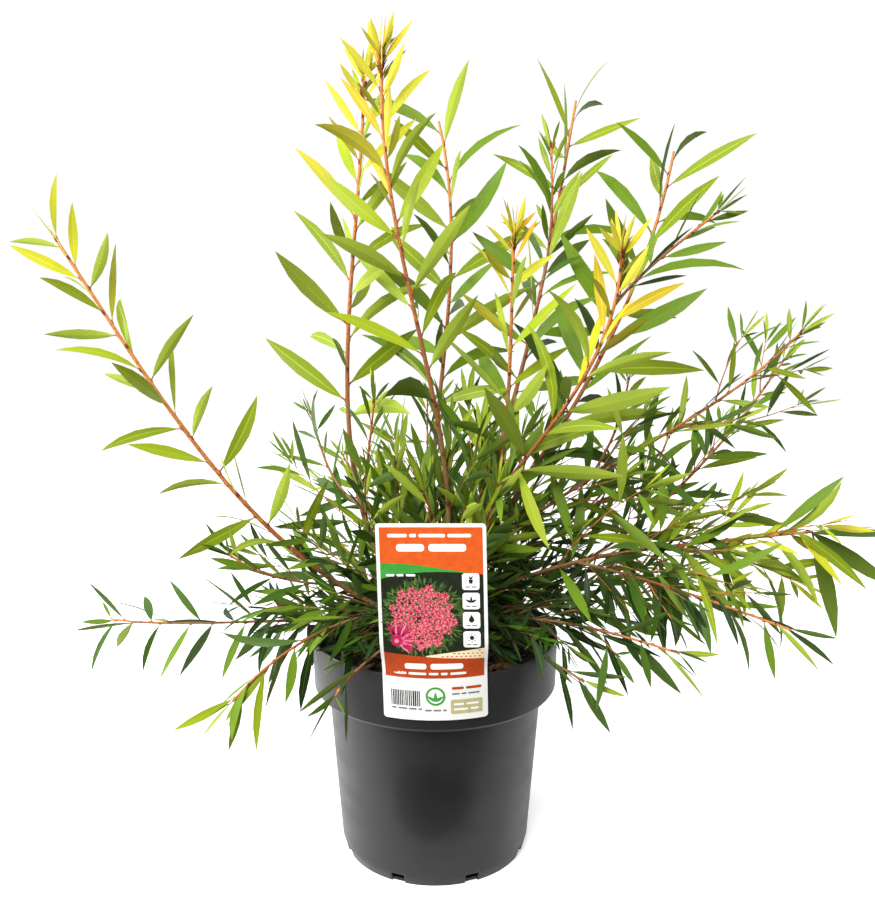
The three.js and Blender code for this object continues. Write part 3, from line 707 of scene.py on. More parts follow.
# %% Inks
INK_COLOURS = {
    "orange": (212, 88, 28), "rust": (176, 66, 20), "green": (60, 150, 56), "night": (28, 36, 20),
    "leafy": (62, 92, 40), "moss": (96, 124, 52), "pink": (232, 78, 104), "rose": (246, 138, 150),
    "magenta": (184, 30, 88), "cream": (246, 224, 184), "white": (246, 246, 242), "grey": (120, 120, 118),
    "black": (34, 34, 34), "khaki": (186, 178, 128),
}
INKS = {name: index for index, name in enumerate(INK_COLOURS)}


def printed(name, colour):
    """Printed ink is satin, a touch mottled, and never quite one colour."""
    base = srgb(*colour)
    material, tree, shader, place = finish(name, base, 0.36, Specular_IOR_Level=0.25)
    mottle = grain(tree, place, 260, detail=3)
    paler = tuple(min(1, 1.14 * c + 0.004) for c in base)
    colour_between(tree, shader, mottle, base, paler)
    gloss_between(tree, shader, mottle, 0.3, 0.42)
    return material


ink_finishes = [printed(f"ink_{name}", colour) for name, colour in INK_COLOURS.items()]
print("inks:", ", ".join(INKS))

# %% Helpers for printing
ink_corners, ink_faces, ink_tones = [], [], []


def lay_ink(tone, layer, u, v):
    """Lay one plate of ink from a grid of places, rows by columns, a hair over the plates before it."""
    start = sum(len(part) for part in ink_corners)
    layer += min(0.9, len(ink_corners) / INK["plates"])
    rows, columns = u.shape
    ink_corners.append(card_point(u, v, layer).reshape(-1, 3))
    for row in range(rows - 1):
        for column in range(columns - 1):
            corner = start + row * columns + column
            ink_faces.append((corner, corner + 1, corner + 1 + columns, corner + columns))
            ink_tones.append(INKS[tone])


def patch(tone, layer, foot, top, left, right):
    """A patch between two heights, whose left and right edges are functions of the height."""
    rows = max(2, round((top - foot) / INK["row"]))
    heights = lerp(foot, top, (1 - np.cos(np.linspace(0, np.pi, rows + 1))) / 2)
    edges = [np.array([side(height) for height in heights]) for side in (left, right)]
    columns = max(1, round(np.max(edges[1] - edges[0]) / INK["column"]))
    shares = np.linspace(0, 1, columns + 1)
    lay_ink(tone, layer, lerp(edges[0][:, None], edges[1][:, None], shares), heights[:, None] + 0 * shares)


def block(tone, layer, left, foot, width, height, radius=0.0):
    """A rectangle with round corners."""

    def inset(at):
        past = max(0, radius - min(at - foot, foot + height - at))
        return radius - math.sqrt(max(0, radius**2 - past**2)) if radius else 0

    patch(tone, layer, foot, foot + height,
          lambda at: left + inset(at), lambda at: left + width - inset(at))


def disc(tone, layer, centre, radius):
    u, v = centre

    def half(at):
        return math.sqrt(max(0, radius**2 - (at - v) ** 2))

    patch(tone, layer, v - radius, v + radius, lambda at: u - half(at), lambda at: u + half(at))


def ray(tone, layer, foot, angle, length, width):
    """A narrow pointed stroke from a place on the card."""
    shares = np.array([0, 0.35, 0.7, 1])[:, None]
    half = width * np.array([0.35, 1, 0.7, 0.05])[:, None] / 2 * np.array([-1, 1])
    u = foot[0] + shares * length * math.cos(angle) - half * math.sin(angle)
    v = foot[1] + shares * length * math.sin(angle) + half * math.cos(angle)
    lay_ink(tone, layer, u, v)


print("a plate of ink stands", INK["layer"], "mm over the layer below")

# %% Print the header, the swoosh and the bands
BORDER = 2.6
EDGE = CARD["width"] / 2 - BORDER
HEADER_FOOT = 116
BAND_TOP = 48
BAND_LOW = 33


def header_edge(u):
    """The header's lower edge hangs lower towards the right."""
    return HEADER_FOOT + 5 * math.cos((u + EDGE) / (2 * EDGE) * 2.4)


def columns_between(tone, layer, low, high, left=-EDGE, right=EDGE):
    """A patch between two edges that are functions of the place across the card."""
    across = np.linspace(left, right, round((right - left) / 2) + 1)
    lows = np.array([low(u) for u in across])
    highs = np.array([high(u) for u in across])
    rows = max(1, round(np.max(highs - lows) / INK["column"]))
    shares = np.linspace(0, 1, rows + 1)[:, None]
    lay_ink(tone, layer, across + 0 * shares, lerp(lows, highs, shares))


def bars(tone, layer, left, foot, height, widths, gap):
    """A line of words, as bars."""
    for width in widths:
        block(tone, layer, left, foot, width, height, 0.4 * height)
        left += width + gap


def swoosh_low(u):
    """The green swoosh hangs from the header and thins out towards the right."""
    return header_edge(u) - 13 * max(0, (EDGE - 4 - u) / (2 * EDGE)) ** 1.6


def band_edge(u):
    """The rust band rises towards the left."""
    return BAND_TOP + 5 * ((EDGE - u) / (2 * EDGE)) ** 2


columns_between("night", 0, lambda u: BAND_TOP, lambda u: header_edge(u) + 0.4)
columns_between("orange", 4, header_edge, lambda u: CARD["height"] - BORDER)
columns_between("green", 5, swoosh_low, header_edge, -EDGE, EDGE - 4)
columns_between("rust", 6, lambda u: BAND_LOW, band_edge)
HEADER_LINES = (
    (7, -31, 140, 2.6, (14, 5, 19, 17), 1.6),
    (7, -25, 129.5, 5.6, (20, 27), 3),
    (7, -33, 111, 1.7, (6, 5, 7), 1.6),
    (7, -22, 40, 4.4, (16, 24), 3),
    (7, -30, 35.6, 1.8, (9, 13, 7, 5, 12), 1.8),
)
for line in HEADER_LINES:
    bars("white", *line)
print("plates so far:", len(ink_corners))

# %% Print the flowering shrub
# centre, wide, tall: its place and half sizes. leaf, bloom: lengths of its leaves and its blooms' spines.
SHRUB = {
    "centre": (-8, 80), "wide": 25, "tall": 32, "leaves": 800, "blooms": 72, "seed": 11,
    "leaf": (3, 5.5), "bloom": (2.4, 4), "bloom_strokes": 16,
}
CLOSE_UP = {"centre": (-27, 62), "radius": 16, "rays": 46}
draw = np.random.default_rng(SHRUB["seed"])


def in_picture(u, v, margin):
    return abs(u) < EDGE - margin and band_edge(u) + margin < v < swoosh_low(u) - margin


def in_shrub(angle, out, wide, tall):
    """A place in the shrub's round shape, from its turn and its share of the way out."""
    u, v = SHRUB["centre"]
    aside = wide * SHRUB["wide"] * out * math.cos(angle)
    return u + aside, v + tall * SHRUB["tall"] * out * math.sin(angle)


for _ in range(SHRUB["leaves"]):
    angle, out = draw.uniform(0, 2 * math.pi), math.sqrt(draw.uniform(0, 1))
    at = in_shrub(angle, out, 1.15, 0.85)
    if in_picture(*at, 3):
        lean = angle + draw.uniform(-0.7, 0.7)
        tone = draw.choice(["leafy", "moss"], p=(0.7, 0.3))
        ray(tone, 1, at, lean, draw.uniform(*SHRUB["leaf"]), 0.9)
for bloom in range(SHRUB["blooms"]):
    at = in_shrub(bloom * 2.4, math.sqrt((bloom + 0.5) / SHRUB["blooms"]), 0.95, 0.72)
    if in_picture(*at, 4):
        size = draw.uniform(*SHRUB["bloom"])
        disc("pink", 2, at, 0.4 * size)
        for spine in range(SHRUB["bloom_strokes"]):
            turn = spine * 2 * math.pi / SHRUB["bloom_strokes"] + draw.uniform(-0.15, 0.15)
            reach = size * draw.uniform(0.8, 1.1)
            ray("rose" if spine % 3 == 0 else "pink", 2, at, turn, reach, 0.9)
for spine in range(CLOSE_UP["rays"]):
    turn = spine * 2 * math.pi / CLOSE_UP["rays"] + draw.uniform(-0.06, 0.06)
    reach = CLOSE_UP["radius"] * draw.uniform(0.75, 1)
    tip = np.add(CLOSE_UP["centre"], (reach * math.cos(turn), reach * math.sin(turn)))
    if in_picture(*tip, 0.6):
        ray("rose" if spine % 4 == 0 else "magenta", 3, CLOSE_UP["centre"], turn, reach, 1.9)
disc("magenta", 4, CLOSE_UP["centre"], 4)
disc("rose", 5, CLOSE_UP["centre"], 1.6)
print("plates with the picture:", len(ink_corners))

# %% Print the pale swoosh
DOTS = {"rows": 4, "columns": 14, "step": 3.4, "row_step": 2.4, "length": 2, "width": 1.1}


def pale_top(u):
    """The pale swoosh swells towards the right."""
    return band_edge(u) + 8.5 * max(0, (u + 8) / (EDGE + 8)) ** 0.8


columns_between("cream", 5, lambda u: band_edge(u) - 1, pale_top, -6, EDGE)
for row in range(DOTS["rows"]):
    for column in range(DOTS["columns"]):
        u = -4 + DOTS["step"] * (column + row % 2 / 2)
        v = BAND_TOP + 1.8 + DOTS["row_step"] * row
        if u < EDGE - 1.5 and band_edge(u) + 0.9 < v < pale_top(u) - 0.9:
            ray("orange", 6, (u - DOTS["length"] / 2, v), 0, DOTS["length"], DOTS["width"])
print("plates with the swoosh:", len(ink_corners))

# %% Print the four small signs
TILE = {"left": 21.5, "size": 12.5, "foot": 57, "step": 14.6, "count": 4}


def sloping(u, v, half, slope):
    """The two edges of a patch about a middle line, that lean out with the height."""
    return [lambda at, side=side: u + side * (half + slope * (at - v)) for side in (-1, 1)]


def fan(tone, layer, foot, leans, length, width):
    """Strokes that spread from one foot, as leaves do."""
    for lean in leans:
        ray(tone, layer, foot, lean, length, width)


def tile_sign(kind, u, v):
    """A small plain sign: a sun, a drop, a leaf or a pot."""
    if kind == 0:
        disc("black", 8, (u, v), 1.7)
        for at in np.arange(8) * math.pi / 4:
            ray("black", 8, (u + 2.3 * math.cos(at), v + 2.3 * math.sin(at)), at, 1.4, 0.7)
    elif kind == 1:
        disc("black", 8, (u, v - 0.9), 2)
        patch("black", 8, v - 0.2, v + 3.2, *sloping(u, v + 3.2, 0, -0.56))
    elif kind == 2:
        fan("black", 8, (u, v - 2.2), (0.5, 1.57, 2.64), 4.6, 1.8)
    else:
        patch("black", 8, v - 2.6, v + 0.4, *sloping(u, v, 1.6, 0.2))
        fan("black", 8, (u, v + 0.4), (1.1, 2.05), 3, 1.3)


for number in range(TILE["count"]):
    foot = TILE["foot"] + number * TILE["step"]
    block("white", 7, TILE["left"], foot, TILE["size"], TILE["size"], 2)
    tile_sign(number, TILE["left"] + TILE["size"] / 2, foot + 7.4)
    bars("grey", 8, TILE["left"] + 2.2, foot + 1.8, 0.9, (3.5, 3.8), 0.8)
print("plates with the signs:", len(ink_corners))

# %% Print the foot
# Stripes, a ring with three leaves, and lines of words as bars, some of them on a khaki block.
STRIPES = {"left": -33, "right": -12, "foot": 11, "height": 12, "width": (0.3, 1.1), "gap": (0.4, 0.9)}
FOOT_LINES = (
    ("rust", 7, 12, 24, 2, (9, 12), 1.6),
    ("grey", 7, 12, 20, 1.2, (6, 4, 9), 1),
)
KHAKI_LINES = (
    ("white", 8, 13, 11.6, 1.5, (8, 10), 1.4),
    ("white", 8, 13, 7.6, 1.5, (11, 7), 1.4),
)

left = STRIPES["left"]
while left < STRIPES["right"]:
    width = draw.uniform(*STRIPES["width"])
    block("black", 7, left, STRIPES["foot"], width, STRIPES["height"])
    left += width + draw.uniform(*STRIPES["gap"])
bars("grey", 7, -33, 8.2, 1.3, (4, 7, 6, 3), 1)
disc("green", 7, (0, 19), 7.2)
disc("white", 8, (0, 19), 5.6)
fan("green", 9, (0, 15), (0.6, 1.57, 2.54), 7.4, 2.6)
bars("grey", 7, -8, 7.4, 1.2, (5, 6, 3), 1)
for line in FOOT_LINES:
    bars(*line)
block("khaki", 7, 11, 5, 24, 11, 1)
for line in KHAKI_LINES:
    bars(*line)
label_print = joined("label_print", np.concatenate(ink_corners), ink_faces, ink_tones, ink_finishes)
place_on_root(label_print, "label_card")
print("plates of ink:", len(ink_corners), "with", triangles(label_print), "triangles")

# %% Finish the card
card_stock, tree, shader, place = finish("card_stock", srgb(244, 244, 240), 0.34)
waves = grain(tree, place, 18, detail=2)
gloss_between(tree, shader, waves, 0.28, 0.42)
relief(tree, shader, waves, depth=1.2 * MM, strength=0.25)
card.data.materials.append(card_stock)
place_on_root(card, "label_card", "label_card")

# %% [markdown]
# ## The rim clip
# A small moulded hook sits on the left of the rim, for a tag. It is a folded strip: one leg hangs outside
# the band and a shorter one inside. A bar is cut across and extruded leg by leg along that path, and its
# edges are then rounded, because that is how a moulder would draw it. It fills the same room as the
# frame's own solid.

# %% Fold the clip
clip_low, clip_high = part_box("rim_clip")
CLIP = {
    "outer_leg": 4.6 * MM, "inner_leg": 2 * MM, "bridge": 2 * MM, "inner_drop": 14 * MM, "edge": 0.5 * MM,
}
clip_side = clip_low.x + CLIP["outer_leg"]
clip_shelf = clip_high.z - CLIP["bridge"]
clip_inner = clip_high.x - CLIP["inner_leg"]

clip = bar(clip_low, (clip_side, *clip_high.yz))
cut_across(clip, 2, [clip_shelf])
for stop, side in ((clip_inner, clip_side), (clip_high.x, clip_inner)):
    edit(clip, lambda f: f.normal.x > 0.9 and f.calc_center_median().z > clip_shelf, faces=True)
    bpy.ops.mesh.extrude_region_move(TRANSFORM_OT_translate={"value": (stop - side, 0, 0)})
    done()
edit(clip, lambda f: f.normal.z < -0.9 and f.calc_center_median().x > clip_inner, faces=True)
down = RIM_HEIGHT - CLIP["inner_drop"] - clip_shelf
bpy.ops.mesh.extrude_region_move(TRANSFORM_OT_translate={"value": (0, 0, down)})
done()
face_outwards(clip)
round_edges(clip, CLIP["edge"], 30)
smooth(clip, 35)
settle(clip, "clip_moulding")
print("clip folded into", triangles(clip), "triangles")

# %% Finish the clip
CLIP_BLACK = srgb(40, 41, 43)

clip_plastic, tree, shader, place = finish("clip_plastic", CLIP_BLACK, 0.42)
flow = grain(tree, place, 160, detail=4, stretch=(1, 1, 0.3))
gloss_between(tree, shader, flow, 0.34, 0.52)
relief(tree, shader, grain(tree, place, 1600, detail=2), depth=0.08 * MM, strength=0.3)
clip.data.materials.append(clip_plastic)
place_on_root(clip, "clip_plastic", "rim_clip")

# %% [markdown]
# ## The planting plan
# Each shoot is one curve from the trunk, or from a parent shoot, to its tip. The plan gives where it
# leaves, where it ends and its habit. From there a rule grows the plant: leaves follow each other round
# the stem by the golden angle, open wide at the foot and close up at the tip, and side twigs do the same.
# Chance is a number from a seed, so the plant is always the same one. This is how real shoots are built,
# and it gives a natural crown from a short plan, where placing each leaf by hand would take weeks.

# %% Habits
# leaf: length. width: share of it. gap: mean spacing. crowding: how much closer the last leaves stand.
# open: angle at the foot and at the tip. sag: how far the leaf's tip sinks. youngest: size of the last
# leaf. girth: the stem's thickness against a tall shoot's. buds: leaves at the tip. twig_gap, twig: the
# side twigs.
TALL = {
    "leaf": 76, "width": 0.14, "gap": 8, "crowding": 1.6, "open": (62, 32), "sag": 0.04, "youngest": 0.34,
    "girth": 1, "buds": 7, "twig_gap": 0, "twig": 0,
}
CUT = {**TALL, "leaf": 80, "gap": 10, "crowding": 1, "open": (60, 46), "youngest": 0.8, "buds": 0}
SWEEP = {
    **TALL, "leaf": 70, "gap": 10, "crowding": 1.15, "open": (58, 38), "sag": 0.02, "youngest": 0.6,
    "buds": 1,
}
SPRAY = {
    "leaf": 56, "width": 0.13, "gap": 9, "crowding": 1.25, "open": (50, 28), "sag": 0.08, "youngest": 0.45,
    "girth": 0.75, "buds": 4, "twig_gap": 36, "twig": 72,
}
ARM = {
    **SPRAY, "leaf": 74, "gap": 8.5, "crowding": 1.2, "open": (60, 44), "sag": 0.32, "youngest": 0.75,
    "girth": 0.9, "twig_gap": 32, "twig": 95,
}
HANGING = {
    **SPRAY, "gap": 10, "open": (58, 34), "sag": 0.5, "youngest": 0.7, "buds": 2,
    "twig_gap": 46, "twig": 48,
}
TRAILING = {**HANGING, "leaf": 60, "gap": 8.5, "twig_gap": 0, "twig": 0}
LEVEL = {
    **TRAILING, "leaf": 58, "gap": 8.5, "crowding": 1.1, "open": (58, 48), "sag": 0.25, "youngest": 0.85,
}
SHORT = {
    **SPRAY, "leaf": 50, "gap": 8, "open": (44, 22), "sag": 0.03, "youngest": 0.5, "twig_gap": 0, "twig": 0,
}
SPUR = {**SHORT, "gap": 8.5, "open": (48, 26)}
print("ten habits, leaves from", SHORT["leaf"], "to", CUT["leaf"], "mm")


# %% Shoots
# The group it is seen with. foot: height on the trunk, or the parent shoot and the share of its length.
# leave, end: azimuth and slope. tip: azimuth, reach from the trunk and height. bough: the bare share of
# the length. Last its habit and the tints of its oldest and its youngest leaves, from 0, gold, to 7, dark.
SHOOTS = {
    # name: group, foot, leave, tip, end, bough, habit, tint
    "tall_front": ("upright", 195, (-40, 70), (-128, 60, 632), (-65, 80), 0.42, TALL, (4.5, 0.9)),
    "tall_left": ("upright", 182, (-170, 45), (155, 60, 625), (80, 85), 0.4, TALL, (4.2, 2.0)),
    "thin_middle": ("upright", 200, (135, 80), (88, 90, 595), (130, 70), 0.42, CUT, (5.1, 4.1)),
    "gold_middle": ("upright", 200, (-15, 50), (-25, 65, 505), (-80, 80), 0.4, TALL, (4.8, 0.5)),
    "tall_back": ("upright", 203, (5, 65), (45, 170, 615), (60, 70), 0.4, CUT, (5.2, 4.1)),
    "tall_right": ("upright", 200, (5, 55), (21, 210, 570), (55, 70), 0.36, CUT, (5.4, 4.4)),
    "front_arch": ("upright", 195, (-60, 75), (-34, 155, 495), (-120, 85), 0.38, TALL, (4.8, 0.3)),
    "right_high": ("right", 193, (5, 60), (4, 295, 430), (15, 45), 0.36, SPRAY, (5.7, 4.2)),
    "right_back": ("right", 190, (10, 10), (22, 340, 395), (35, 45), 0.34, SPRAY, (5.8, 4.4)),
    "right_low": ("right", 188, (-5, 40), (-12, 290, 285), (-10, 10), 0.34, ARM, (5.7, 1.9)),
    "right_inner": ("right", 184, (25, 15), (16, 230, 210), (20, 20), 0.4, SPRAY, (6.2, 4.9)),
    "right_front": ("right", 180, (-15, 30), (-30, 205, 205), (-45, 0), 0.4, HANGING, (7.0, 6.0)),
    "left_sweep": ("sweep", 186, (-170, 20), (-168, 280, 506), (-166, 60), 0.3, SWEEP, (4.0, 2.3)),
    "left_level": ("left", 182, (170, 10), (175, 275, 185), (160, 0), 0.36, LEVEL, (7.0, 5.7)),
    "left_droop": ("left", 180, (-145, 50), (-143, 185, 170), (-150, -45), 0.45, TRAILING, (6.1, 4.1)),
    "rim_left": ("left", 180, (-90, 40), (-118, 150, 185), (-110, -15), 0.5, HANGING, (6.3, 5.1)),
    "front_low": ("heart", 182, (-45, 35), (-37, 140, 175), (-35, -20), 0.45, HANGING, (7.2, 6.0)),
    "rear_left": ("rear", 186, (130, 40), (118, 190, 300), (118, 35), 0.34, SPRAY, (6.0, 4.8)),
    "rear_middle": ("rear", 192, (95, 45), (92, 215, 345), (90, 40), 0.34, SPRAY, (6.0, 4.8)),
    "rear_right": ("rear", 188, (60, 45), (55, 215, 330), (55, 35), 0.34, SPRAY, (6.0, 4.8)),
    "rear_low": ("rear", 181, (105, 30), (108, 185, 225), (108, 0), 0.4, HANGING, (6.6, 5.4)),
    "middle_inner": ("heart", 195, (-170, 55), (-154, 35, 330), (-110, 75), 0, SHORT, (5.5, 4.1)),
    "front_inner": ("heart", 193, (-40, 45), (-51, 75, 322), (-51, 75), 0, SHORT, (5.5, 4.1)),
    "rear_inner": ("heart", 197, (110, 45), (102, 62, 300), (102, 80), 0, SHORT, (5.5, 4.1)),
    "right_middle": ("right", 187, (20, 35), (24, 175, 300), (24, 45), 0.4, SPRAY, (5.7, 4.3)),
    "left_low": (
        "left", ("left_sweep", 0.2), (-160, 10), (-166, 165, 262), (-160, 45), 0, SHORT, (6.4, 5.3)),
    "back_bud": ("upright", ("tall_back", 0.62), (45, 70), (40, 125, 575), (100, 75), 0, SPUR, (5.4, 4.1)),
    "arch_side": (
        "upright", ("front_arch", 0.88), (20, 50), (-17, 210, 520), (25, 35), 0, SPUR, (5.4, 4.6)),
    "back_spur": ("right", ("right_back", 0.48), (60, 60), (24, 225, 330), (40, 60), 0, SPUR, (5.8, 4.5)),
    "right_spur": ("right", ("right_high", 0.45), (30, 50), (21, 175, 385), (65, 65), 0, SPUR, (5.7, 4.4)),
    "right_droop": (
        "right", ("right_low", 0.42), (-40, 0), (-26, 280, 230), (-35, -10), 0, HANGING, (7.2, 5.8)),
    "left_spur": ("left", ("tall_left", 0.27), (145, 20), (148, 125, 355), (115, 45), 0, SPUR, (6.4, 5.3)),
    "left_inner": (
        "left", ("tall_left", 0.22), (-125, 70), (-148, 55, 380), (-75, 75), 0, SPUR, (6.0, 4.8)),
}
print("shoots:", len(SHOOTS))


# %% Directions and chance
def unit(vector):
    return vector / np.linalg.norm(vector)


def direction(azimuth, slope):
    a, s = math.radians(azimuth), math.radians(slope)
    return np.array([math.cos(s) * math.cos(a), math.cos(s) * math.sin(a), math.sin(s)])


def chance(seed, draw):
    """A number from -1 to 1 that is always the same for one seed and draw."""
    value = (seed * 7919 + draw * 104729 + 1) & 0xFFFFFFFF
    for _ in range(3):
        value = (value * 1664525 + 1013904223) & 0xFFFFFFFF
    return 2 * value / 2**32 - 1


def outward(across, third, turn):
    """The direction out of a stem at a turn about it."""
    return across * math.cos(turn) + third * math.sin(turn)


print("chance of seed 1, draw 1:", round(chance(1, 1), 3))


# %% Curves
class Curve:
    """A Bezier curve that is read by the share of its length."""

    def __init__(self, *controls):
        self.controls = np.array(controls, float)
        self.points = self.bezier(np.linspace(0, 1, 201))
        steps = np.linalg.norm(np.diff(self.points, axis=0), axis=1)
        self.lengths = np.concatenate([[0], np.cumsum(steps)])
        self.length = self.lengths[-1]

    def bezier(self, t):
        layers = [np.broadcast_to(c, (len(t), 3)) for c in self.controls]
        while len(layers) > 1:
            layers = [lerp(a, b, t[:, None]) for a, b in zip(layers, layers[1:])]
        return layers[0]

    def at(self, share):
        reach = share * self.length
        return np.array([np.interp(reach, self.lengths, self.points[:, axis]) for axis in range(3)])

    def along(self, share):
        step = 0.004
        return unit(self.at(min(1, share + step)) - self.at(max(0, share - step)))


def frame_at(stem, share):
    """A stem's direction at a place, and two directions out of it."""
    along = stem["curve"].along(share)
    across = unit(stem["sideways"] - np.dot(stem["sideways"], along) * along)
    return along, across, np.cross(across, along)


print("a straight line of 10 mm measures", Curve((0, 0, 0), (0, 0, 10)).length)

# %% Lay out every shoot
# handle: how far a curve follows its first and last direction, as a share of the span between its ends.
LIMB = {"least_diameter": 2.6, "length_per_diameter": 220, "tip_diameter": 2.2, "handle": 0.35}
FIRST_LEAF = 8


def planned_shoot(name, seed):
    group, foot, leave, tip, end, bough, habit, tint = SHOOTS[name]
    parent = None
    if isinstance(foot, tuple):
        parent, foot_share = foot
        foot = shoots[parent]["curve"].at(foot_share)
    else:
        foot = np.array([0, 0, foot], float)
    azimuth, reach, height = tip
    tip = direction(azimuth, 0) * reach + np.array([0, 0, height])
    handle = LIMB["handle"] * np.linalg.norm(tip - foot)
    curve = Curve(foot, foot + handle * direction(*leave), tip - handle * direction(*end), tip)
    thick = LIMB["least_diameter"] + curve.length / LIMB["length_per_diameter"]
    return {
        "name": name,
        "group": group,
        "seed": seed,
        "curve": curve,
        "length": curve.length,
        "sideways": direction(azimuth + 90, 0),
        "parent": parent,
        "bough": bough,
        "habit": habit,
        "tint": tint,
        "leaf_from": max(bough, FIRST_LEAF / curve.length),
        "leaf": habit["leaf"],
        "gap": habit["gap"],
        "youngest": habit["youngest"],
        "radius": lambda share: habit["girth"] * lerp(thick, LIMB["tip_diameter"], share) / 2,
    }


shoots = {}
for seed, name in enumerate(SHOOTS, 1):
    shoots[name] = planned_shoot(name, seed)
print("longest shoot:", round(max(s["length"] for s in shoots.values())), "mm")

# %% [markdown]
# ## Twigs and leaves by a rule
# A side twig and a leaf are set in the same way: at a distance along the stem, turned about it by the
# golden angle and opened from it by an angle. They could be scattered with a particle system, but then
# nothing would tell old leaves from young ones. Here every one knows its youth, its number and its seed,
# so that its size, its colour and how it hangs come from where it grows.

# %% Side twigs
# turn_back: how far it bends towards the stem's own direction. shorter: how much the last twig loses.
TWIG = {
    "diameter": 1.3, "taper": 0.5, "open": 42, "turn_back": 0.4,
    "droop": 0.3, "shorter": 0.45, "spread": 0.2,
}
TWIG_LEAVES = {"bare_share": 0.25, "size": 0.85, "gap": 1.15, "youngest": 0.7}
DRAWS = {"turn": 0, "twig_turn": 50, "twig_length": 51, "twig_seeds": 100}
GOLDEN_ANGLE = 137.5


def youth_at(stem, share):
    """From 0 at a stem's first leaf to 1 at its tip."""
    return max(0, (share - stem["leaf_from"]) / (1 - stem["leaf_from"]))


def twig_on_stem(stem, index, at, reach=None, opening=TWIG["open"], leaf=None, thick=TWIG["diameter"]):
    """A side twig leaves the stem at an angle and bends a little towards the stem's own direction."""
    habit = stem["habit"]
    share = at / stem["length"]
    along, across, third = frame_at(stem, share)
    turn = math.radians(index * GOLDEN_ANGLE + 180 * chance(stem["seed"], DRAWS["twig_turn"]))
    out = outward(across, third, turn)
    open_ = math.radians(opening)
    leaving = along * math.cos(open_) + out * math.sin(open_)
    luck = 1 + TWIG["spread"] * chance(stem["seed"], DRAWS["twig_length"] + index)
    length = (reach or habit["twig"]) * (1 - TWIG["shorter"] * youth_at(stem, share)) * luck
    foot = stem["curve"].at(share)
    middle = foot + leaving * length / 2
    tip = middle + unit(lerp(leaving, along, TWIG["turn_back"])) * length / 2
    tip[2] -= TWIG["droop"] * habit["sag"] * length
    curve = Curve(foot, middle, tip)
    return {
        "name": f"{stem['name']}_twig{index}",
        "seed": stem["seed"] * DRAWS["twig_seeds"] + index,
        "curve": curve,
        "length": curve.length,
        "sideways": stem["sideways"],
        "foot_share": share,
        "habit": habit,
        "leaf_from": TWIG_LEAVES["bare_share"],
        "leaf": leaf or habit["leaf"] * TWIG_LEAVES["size"],
        "gap": min(habit["gap"], SHORT["gap"]) * TWIG_LEAVES["gap"],
        "youngest": TWIG_LEAVES["youngest"],
        "radius": lambda share: thick / 2 * (1 - TWIG["taper"] * share),
    }


def twigs_on_stem(stem):
    gap = stem["habit"]["twig_gap"]
    if not gap:
        return []
    first = stem["leaf_from"] * stem["length"] + FIRST_LEAF
    count = int((stem["length"] - first) // gap)
    return [twig_on_stem(stem, index, first + index * gap) for index in range(count)]


print("side twigs on right_high:", len(twigs_on_stem(shoots["right_high"])))

# %% Leaves on a stem
LEAF_SPREAD = {"open": 16, "roll": 32, "size": 0.18}
AGING = 2.3
SEATED = 0.9


def leaf_on_stem(stem, index, at):
    """One leaf: its turn about the stem, its angle to it and its sag come from its number."""
    seed, habit = stem["seed"], stem["habit"]
    share = at / stem["length"]
    along, across, third = frame_at(stem, share)
    turn = math.radians(index * GOLDEN_ANGLE + 180 * chance(seed, DRAWS["turn"]))
    out = outward(across, third, turn)
    youth = youth_at(stem, share)
    luck = LEAF_SPREAD["open"] * chance(seed, 4 * index + 1)
    open_ = math.radians(lerp(*habit["open"], youth) + luck)
    heading = along * math.cos(open_) + out * math.sin(open_)
    heading[2] -= habit["sag"] * (1 + chance(seed, 4 * index + 2))
    heading = unit(heading)
    wide = unit(along - np.dot(along, heading) * heading)
    roll = math.radians(LEAF_SPREAD["roll"] * chance(seed, 4 * index + 3))
    wide = wide * math.cos(roll) + np.cross(heading, wide) * math.sin(roll)
    age = lerp(1, stem["youngest"], youth**AGING)
    size = age * (1 + LEAF_SPREAD["size"] * chance(seed, 4 * index + 4))
    return {
        "root": stem["curve"].at(share) + out * SEATED * stem["radius"](share),
        "out": out,
        "heading": heading,
        "wide": wide,
        "length": stem["leaf"] * size,
        "width": habit["width"],
        "youth": youth,
        "seed": seed,
        "index": index,
        "turn": turn,
        "share": share,
    }


def leaves_on_stem(stem):
    """The leaves from the first to the tip, which stand closer the younger they are."""
    first = stem["leaf_from"] * stem["length"]
    count = int((stem["length"] - first) // stem["gap"])
    left = [(1 - index / count) ** stem["habit"]["crowding"] for index in range(count)]
    places = [lerp(stem["length"], first, share) for share in left]
    return [leaf_on_stem(stem, index, at) for index, at in enumerate(places)]


print("a leaf of tall_left:", round(leaves_on_stem(shoots["tall_left"])[3]["length"]), "mm")

# %% [markdown]
# ## One leaf, modelled once
# A bottlebrush leaf is a narrow lance: a short red stalk, a blade that is widest before its middle, and a
# pale rib that runs to the point. It could be drawn as a flat outline, but then it would have no thickness
# and no rib. It is made from a bar: cut across into rows and lengthwise beside the rib, its long edges
# flattened to a line, each row scaled to the blade's width. It keeps to a few dozen faces, because
# thousands of copies follow.

# %% Model the leaf
LEAF_ROWS = (0.0, 0.055, 0.17, 0.33, 0.52, 0.72, 0.89, 1.0)
ROW_WIDTHS = (0.11, 0.12, 0.52, 0.86, 1.0, 0.8, 0.36, 0.0)
ROW_THICKNESS = (1.6, 1.4, 1.0, 1.0, 0.9, 0.7, 0.5, 0.0)
RIB_SHARE = 0.085

